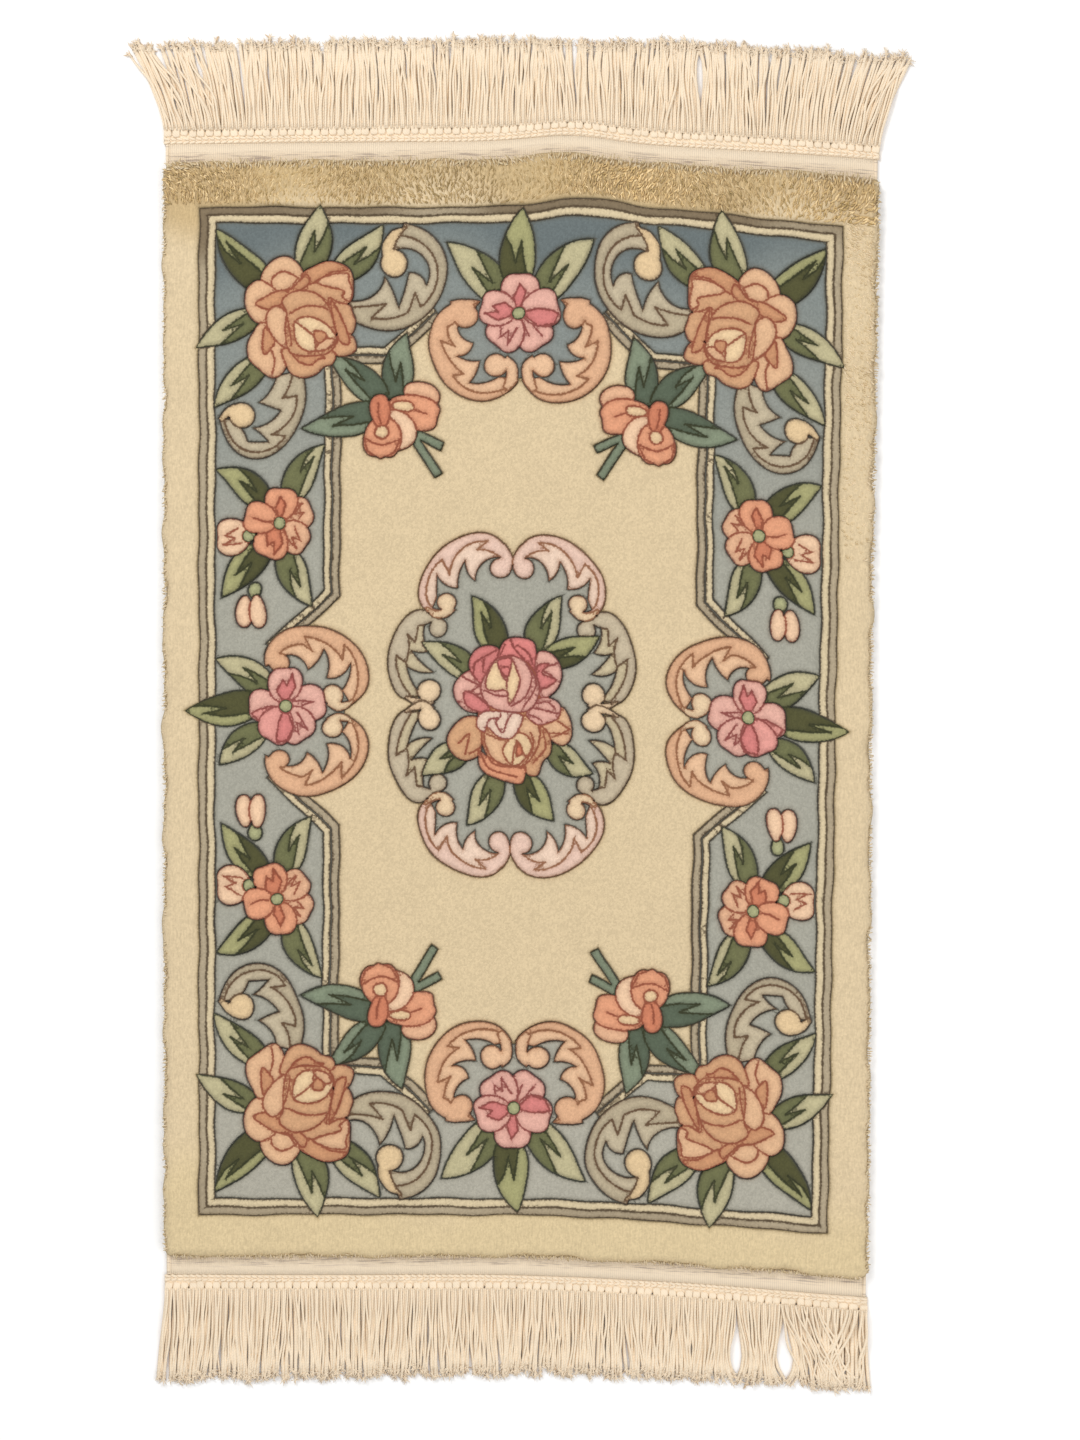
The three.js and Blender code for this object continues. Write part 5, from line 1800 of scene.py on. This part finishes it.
@dataclass(frozen=True)
class RugCloth:
    """The woven cloth under the pile, with a flat-woven band at each end and a cord along its sides."""

    floor: Floor
    sizes: Sizes

    def build(self) -> Piece:
        """Makes the cloth."""
        s = self.sizes
        solid = Solid(self.floor)
        end = s.pile_half_length + s.band
        solid.slab(rectangle(s.cloth_half_width, end), 0.02, s.cloth_top, 13.0)
        t = np.linspace(s.pile_half_length - 3, end - 0.4, 6)
        for side_x in (-1, 1):
            for side_y in (-1, 1):
                x = np.full(len(t), (s.cloth_half_width - 1.2) * side_x)
                solid.tube(columns(x, t * side_y, np.full(len(t), 2.4)), np.full(len(t), 1.6), 8)
        return solid.build("woven_cloth")


@dataclass
class LooseWool:
    """Long loose locks of the plush border: combed out over the band at the far end, and at its edges."""

    floor: Floor  # where the drawn sheet lies
    sizes: Sizes  # the rug's sizes
    seed: int = 57  # for its unevenness
    gap: float = 2.75  # millimetres between locks at the far end
    edge_gap: float = 1.9  # millimetres between locks along the edges

    SHADES = ("#9A8358", "#AC9368", "#B8A074", "#C9B288")
    FAR_TONES = ((-300, 1.5), (-138, 1.35), (-21, 1.06), (95, 1.75), (190, 1.25), (264, 1.58))
    EDGE_SHADES = ("#C9B38C", "#D8C49F", "#DDC9A8", "#D0BB95")
    MARGIN_FROM = 150  # the drawn y where the right margin's brushed locks begin
    MARGIN_TONE = 1.18  # how much paler than their shades they are

    def rim(self, inside: float, rise: float = 9.0) -> float:
        """Returns the height of a lock's root some millimetres inside the rug's edge."""
        return 3.4 + rise * (1 - (1 - min(1.0, inside / EDGE_REACH)) ** ROUNDING)

    def lock(self, solid: Solid, spot: Triple, angle: float, long: float, drop: float) -> None:
        """Adds a curved, tapering lock.

        Args:
            solid: what it joins.
            spot: drawn x and y and height of its root.
            angle: the way it leans, in radians from the x axis.
            long: its length in millimetres.
            drop: millimetres that its tip lies under its root.
        """
        x, y, z = spot
        t = np.array([0.0, 0.4, 0.75, 1.0])
        bend = angle + 0.25 * math.sin(x * 3.1 + y) * t
        tall = np.maximum(z + 0.6 * np.sin(np.pi * t) - drop * t**2, 0.5)
        path = columns(x + t * long * np.cos(bend), y + t * long * np.sin(bend), tall)
        solid.tube(path, np.array([0.5, 0.9, 0.7, 0.15]), 3)

    def far(self, solid: Solid, rng: Random) -> None:
        """Adds the locks of the far end, which swirl a little and spread at the corners."""
        s = self.sizes
        half, end = s.pile_half_width - 5, s.pile_half_length
        for x0 in np.arange(-half, half, self.gap):
            for y0 in np.arange(s.frame_half_length + 3, end - 1, self.gap):
                x, y = x0 + rng.uniform(-1.2, 1.2), y0 + rng.uniform(-1.2, 1.2)
                root = self.rim(max(0.0, end - y), 9.2)
                swirl = 0.35 * math.sin(x / 23 + y / 9) + 0.3 * math.sin(x / 41 - y / 15 + 2)
                angle = math.pi / 2 - 0.7 * (x / half) ** 7 + swirl + rng.normal(0, 0.4)
                self.lock(solid, (x, y, root), angle, rng.uniform(3.8, 6.8), rng.uniform(0.2, 1.2))
                self.pale.append(y0 > end - 8)
                self.tones.append(1.0 if self.pale[-1] else np.interp(x, *zip(*self.FAR_TONES)))

    def margin(self, solid: Solid, rng: Random) -> None:
        """Adds the brushed locks of the right margin's far half."""
        s = self.sizes
        for x0 in np.arange(s.frame_half_width + 3, s.pile_half_width - 4, 3.0):
            for y0 in np.arange(self.MARGIN_FROM, s.frame_half_length + 3, 3.0):
                x, y = x0 + rng.uniform(-1.3, 1.3), y0 + rng.uniform(-1.3, 1.3)
                root = self.rim(s.pile_half_width - x)
                share = (y0 - self.MARGIN_FROM) / (s.frame_half_length - self.MARGIN_FROM)
                if rng.random() < 0.25 + 0.75 * share:
                    self.lock(solid, (x, y, root), rng.normal(-0.35, 0.35), rng.uniform(3.0, 5.0), 0.6)
                    self.pale.append(True)
                    self.tones.append(self.MARGIN_TONE)

    def edges(self, solid: Solid, rng: Random) -> None:
        """Adds short locks along the side edges and the near edge."""
        s = self.sizes
        half, end = s.pile_half_width, s.pile_half_length
        steps = np.arange(6 - end, end - 6, self.edge_gap)
        rows = [(side * half, y, 90 - 90 * side) for side in (-1, 1) for y in steps]
        rows += [(x, -end, -90) for x in np.arange(8 - half, half - 8, self.edge_gap)]
        for x, y, degrees in rows:
            out = math.radians(degrees)
            root = rng.uniform(1.5, 4.0)
            tall = self.rim(root) - rng.uniform(0.4, 2.5)
            spot = (x - root * math.cos(out), y - root * math.sin(out), tall)
            lean, more, drop = rng.normal(0.25, 0.45), rng.uniform(0.3, 2.4), rng.uniform(0.5, 2.5)
            self.lock(solid, spot, out + lean, root + more, drop)

    def build(self) -> Piece:
        """Makes all the locks, each of one shade, with no carved line near."""
        rng = np.random.default_rng(self.seed)
        solid = Solid(self.floor)
        self.pale: list[bool] = []
        self.tones: list[float] = []
        self.far(solid, rng)
        self.margin(solid, rng)
        self.edges(solid, rng)
        count = len(solid.faces)
        pale = np.array(self.pale + [True] * (count - len(self.pale)))
        made = solid.build("pile_plush_locks")
        shades = np.array([linear(c)[:3] for c in self.SHADES + self.EDGE_SHADES])
        pick = rng.choice(4, count, p=(0.16, 0.34, 0.34, 0.16)) + 4 * pale
        tones = np.array(self.tones + [1.0] * (count - len(self.tones)))
        colour = np.repeat(np.minimum(shades[pick] * tones[:, None], 1.0), 3 * len(solid.faces[0]), axis=0)
        write_wool(made.data, colour, colour, np.full(len(colour), 9.0))
        return made


@dataclass(frozen=True)
class Sway:
    """How far the cord tips of one fringe lie to the side, in millimetres."""

    left: float
    left_over: float
    right: float
    right_over: float

    def at(self, x: float) -> float:
        """Returns the tips' shift at a drawn x."""
        half = SIZES.pile_half_width
        left = self.left * math.exp(-(x + half) / self.left_over)
        return left + self.right * math.exp(-(half - x) / self.right_over)


@dataclass
class Fringe:
    """One end's fringe: two twined rows, a row of knots, and the plied warp ends that hang from them."""

    floor: Floor  # where the drawn sheet lies
    node: str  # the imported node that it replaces
    side: int  # 1 at the far end, -1 at the near end
    sway: Sway  # how its tips fan out
    length_left: float  # millimetres of free cord at the left
    length_right: float  # millimetres of free cord at the right
    seed: int  # for its small unevenness
    # knot numbers whose cords lie slantwise over the rest, and how far the last one's tip shifts
    strays: tuple[tuple[int, float], ...] = ()
    # drawn x and width of the gaps where the floor shows between the cords
    gaps: tuple[Pair, ...] = ()
    cords: int = 4  # upper cords from each knot
    radius: float = 1.12  # a cord's radius in millimetres

    def start(self) -> float:
        """Returns the drawn y, unsigned, where the heading begins."""
        return SIZES.pile_half_length + SIZES.band + SIZES.seam

    def knot_x(self, number: int) -> float:
        """Returns the drawn x of a knot."""
        return SIZES.pile_half_width * (2 * (number + 0.5) / SIZES.knots - 1)

    def heading(self) -> Piece:
        """Makes the heading: its strip, its twined rows and its knots."""
        s = SIZES
        rng = np.random.default_rng(self.seed)
        solid = Solid(self.floor)
        half, near, far = s.pile_half_width, self.start(), self.start() + s.heading - 4
        strip = np.array([[-half, near], [half, near], [half, far], [-half, far]]) * np.array([1, self.side])
        solid.slab(strip if self.side > 0 else strip[::-1], 0.02, 2.6, 10.0)
        pitch = 2 * half / s.knots
        for row, y in enumerate((1.5, 4.3)):
            lean = 14 if (row + (self.side > 0)) % 2 else -14
            for i in range(int(s.knots * 1.3)):
                x = -half + (i + 0.5) * pitch / 1.3
                spot = (near + y + 0.5 * math.sin(x / 37 + row)) * self.side
                solid.ellipsoid(x, spot, 2.6, (3.2, 1.25, 1.3), lean + rng.normal(0, 3), 0.8)
        for i in range(s.knots):
            y = (near + 9.7 + rng.normal(0, 0.4)) * self.side
            block = (pitch * 0.5, 4.0 + rng.normal(0, 0.3), 1.9 + rng.normal(0, 0.12))
            solid.ellipsoid(self.knot_x(i) + rng.normal(0, 0.25), y, 2.5, block, rng.normal(0, 5), 0.5)
        return solid.build(f"{self.node}_heading")

    def strands(self) -> Piece:
        """Makes the cords with their frayed tips: a low, straight layer, and wavy cords over it."""
        rng = np.random.default_rng(self.seed + 5)
        solid = Solid(self.floor)
        phase = rng.uniform(0, 2 * math.pi, 4)
        strays = dict(self.strays)
        for i in range(SIZES.knots):
            knot_x = self.knot_x(i)
            drift = 2.2 * math.sin(knot_x / 21 + phase[0]) + 1.8 * math.sin(knot_x / 9 + phase[1])
            lean = self.sway.at(knot_x) + drift
            for shift in (-1.75, 1.75):
                self.cord(solid, rng, knot_x + shift, 1.6, 1.85, lean + rng.normal(0, 1.0), 0.5, 8)
            bundle = rng.normal(0, 1.4)
            for j in range(self.cords):
                spread = (j - (self.cords - 1) / 2) * 1.75
                layer = 3.1 + 1.5 * ((i + j) % 2)
                own = lean + bundle + rng.normal(0, 2.4) + strays.get(i, 0) * (0.3 + 0.23 * j)
                if i in strays:
                    layer += 0.6 * j
                wave = rng.uniform(0.7, 1.7) * (2.4 if i in strays else 1.0)
                self.cord(solid, rng, knot_x + spread, layer, self.radius, own, wave, 12)
        return solid.build(f"{self.node}_cords")

    def cord(
        self, solid: Solid, rng: Random, x: float, z: float, radius: float, lean: float, wave: float,
        points: int,
    ) -> None:
        """Adds one cord.

        Args:
            solid: what it joins.
            rng: for its unevenness.
            x: drawn place of its root.
            z: height that it lies at.
            radius: its radius in millimetres.
            lean: its tip's shift to the side.
            wave: millimetres that it wanders to each side.
            points: rows along it.
        """
        share = x / (2 * SIZES.pile_half_width) + 0.5
        length = self.length_left + (self.length_right - self.length_left) * share + rng.normal(0, 2.6)
        length -= (self.side > 0) * 8 * math.exp(-(((x - 40) / 50) ** 2))
        t = np.linspace(0, 1, points)
        turns, phase = rng.uniform(5, 10), rng.uniform(0, 6.3)
        path_x = x + lean * t**1.4 + wave * (np.sin(t * turns + phase) - math.sin(phase) * (1 - t)) * t**0.6
        for place, wide in self.gaps:
            away = x + 0.5 * lean - place
            path_x += math.copysign(wide / 2, away) * math.exp(-((away / 13) ** 2)) * np.sin(np.pi * t**2.1)
        y = (self.start() + SIZES.heading - 2.5 + t * length) * self.side
        tall = z + 0.5 * np.sin(t * turns * 0.8 + phase) * t - (z - radius - 0.3) * t**5
        radii = radius * (1 - 0.2 * t**8)
        solid.tube(columns(path_x, y, tall), radii, 5, rng.uniform(0, 9))
        heading = math.atan2(y[-1] - y[-2], path_x[-1] - path_x[-2])
        self.fray(solid, rng, (path_x[-1], y[-1], tall[-1]), heading)

    def fray(self, solid: Solid, rng: Random, tip: Triple, angle: float) -> None:
        """Adds the loose fibres at a cord's cut end."""
        x, y, z = tip
        t = np.array([0.0, 0.5, 1.0])
        for _ in range(5):
            turn = angle + rng.normal(0, 0.5) + rng.normal(0, 0.6) * t
            long = rng.uniform(4.5, 9.0)
            along = (t - 0.3) * long
            tall = np.maximum(z + 0.6 + rng.normal(0, 0.9) * t, 0.9)
            path = columns(x + along * np.cos(turn), y + along * np.sin(turn), tall)
            solid.tube(path, np.array([0.95, 0.7, 0.2]), 3)


@dataclass(frozen=True)
class Studio:
    """The camera over the rug, the pale floor and the soft lights."""

    floor: Floor
    CENTRE_PX = (540.0, 720.0)  # the photograph's middle
    RUG_PX = (519.5, 711.0)  # where the drawn sheet's middle is in it
    MM_PER_PX = 0.865  # at the top of the pile
    FRAME_PX = (1080, 1440)
    HEIGHT_M = 4.0
    PILE_TOP_M = 0.012
    SENSOR_MM = 36.0

    def camera(self) -> None:
        """Puts the camera straight over the middle of the photograph's frame."""
        data = bpy.data.cameras.new("camera")
        data.sensor_fit = "VERTICAL"
        data.sensor_height = self.SENSOR_MM
        tall = self.FRAME_PX[1] * self.MM_PER_PX * MM
        data.lens = self.SENSOR_MM * (self.HEIGHT_M - self.PILE_TOP_M) / tall
        made = placed("camera", data)
        x = (self.CENTRE_PX[0] - self.RUG_PX[0]) * self.MM_PER_PX + self.floor.shift[0]
        y = (self.RUG_PX[1] - self.CENTRE_PX[1]) * self.MM_PER_PX + self.floor.shift[1]
        made.location = (x * MM, y * MM, self.HEIGHT_M)
        bpy.context.scene.camera = made

    def light(self, name: str, place: Vector, size: float, watts: float) -> None:
        """Adds a soft square light that faces the rug.

        Args:
            name: its name.
            place: where it is, in metres.
            size: metres along a side.
            watts: its power.
        """
        data = bpy.data.lights.new(name, "AREA")
        data.size = size
        data.energy = watts
        made = placed(name, data)
        made.location = place
        made.rotation_euler = (-place).to_track_quat("-Z", "Y").to_euler()

    def build(self) -> None:
        """Makes the whole studio."""
        self.camera()
        self.light("key", Vector((-1.2, 2.0, 2.5)), 1.2, 50)
        self.light("fill", Vector((1.6, -1.6, 2.6)), 2.4, 38)
        world = bpy.data.worlds.new("studio")
        world.use_nodes = True
        world.node_tree.nodes["Background"].inputs["Color"].default_value = (1, 1, 1, 1)
        world.node_tree.nodes["Background"].inputs["Strength"].default_value = 0.62
        bpy.context.scene.world = world
        bpy.context.scene.view_settings.view_transform = "Standard"
        bpy.ops.object.select_all(action="DESELECT")
        bpy.ops.mesh.primitive_plane_add(size=8.0, location=(0, 0, -0.0002))
        ground = bpy.context.active_object
        ground.name = "studio_floor"
        paint = bpy.data.materials.new("matt_white_paint")
        paint.use_nodes = True
        shader = paint.node_tree.nodes["Principled BSDF"]
        shader.inputs["Base Color"].default_value = linear("#FDFDFD")
        shader.inputs["Roughness"].default_value = 1.0
        ground.data.materials.append(paint)


def dress(piece: Piece, finish: bpy.types.Material) -> None:
    """Gives a piece its finish and lets it ride on the rug."""
    piece.data.materials.append(finish)
    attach(piece, "root")


def main() -> None:
    """Builds the rug and the studio."""
    logging.basicConfig(level=logging.INFO, format="%(message)s")
    floor = Floor(Lie(), SIZES)
    LOG.info("shift %s", floor.shift)
    pattern = Frames(SIZES).zones() + Border().zones() + Medallion().zones()
    LOG.info("zones %d", len(pattern))
    carved = WoolPile("hand_knotted_wool_carved").material()
    plush = WoolPile(
        "hand_knotted_wool_plush", stroke=(6.0, 1.6), fleck=0.06, strokes=0.07, far_strokes=0.12
    ).material()
    pile = CarvedPile(pattern, floor).build()
    pile.append(LooseWool(floor, SIZES).build())
    for piece in pile:
        dress(piece, plush if piece.name.startswith("pile_plush") else carved)
    cloth = RugCloth(floor, SIZES).build()
    dress(cloth, WovenCotton("flat_woven_cotton").material())
    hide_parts("carved_rug")
    cotton = CottonYarn("plied_cotton").material()
    ends = (
        Fringe(
            floor, "fringe_far", 1, Sway(-31, 42, 31, 48), 71, 76, 21,
            ((2, -18), (3, -24), (5, -30), (6, -22), (60, 9), (71, -10), (84, 12)), ((152, 6),),
        ),
        Fringe(
            floor, "fringe_near", -1, Sway(-12, 30, 9, 40), 76, 64, 34,
            ((77, 24), (78, 33), (79, 38), (80, 20), (81, 30), (83, -16), (84, -22), (85, -26), (86, -9)),
            ((199, 11), (241, 15)),
        ),
    )
    for end in ends:
        for made in (end.heading(), end.strands()):
            dress(made, cotton)
            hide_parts(end.node)
    Studio(floor).build()


if __name__ == "__main__":
    main()
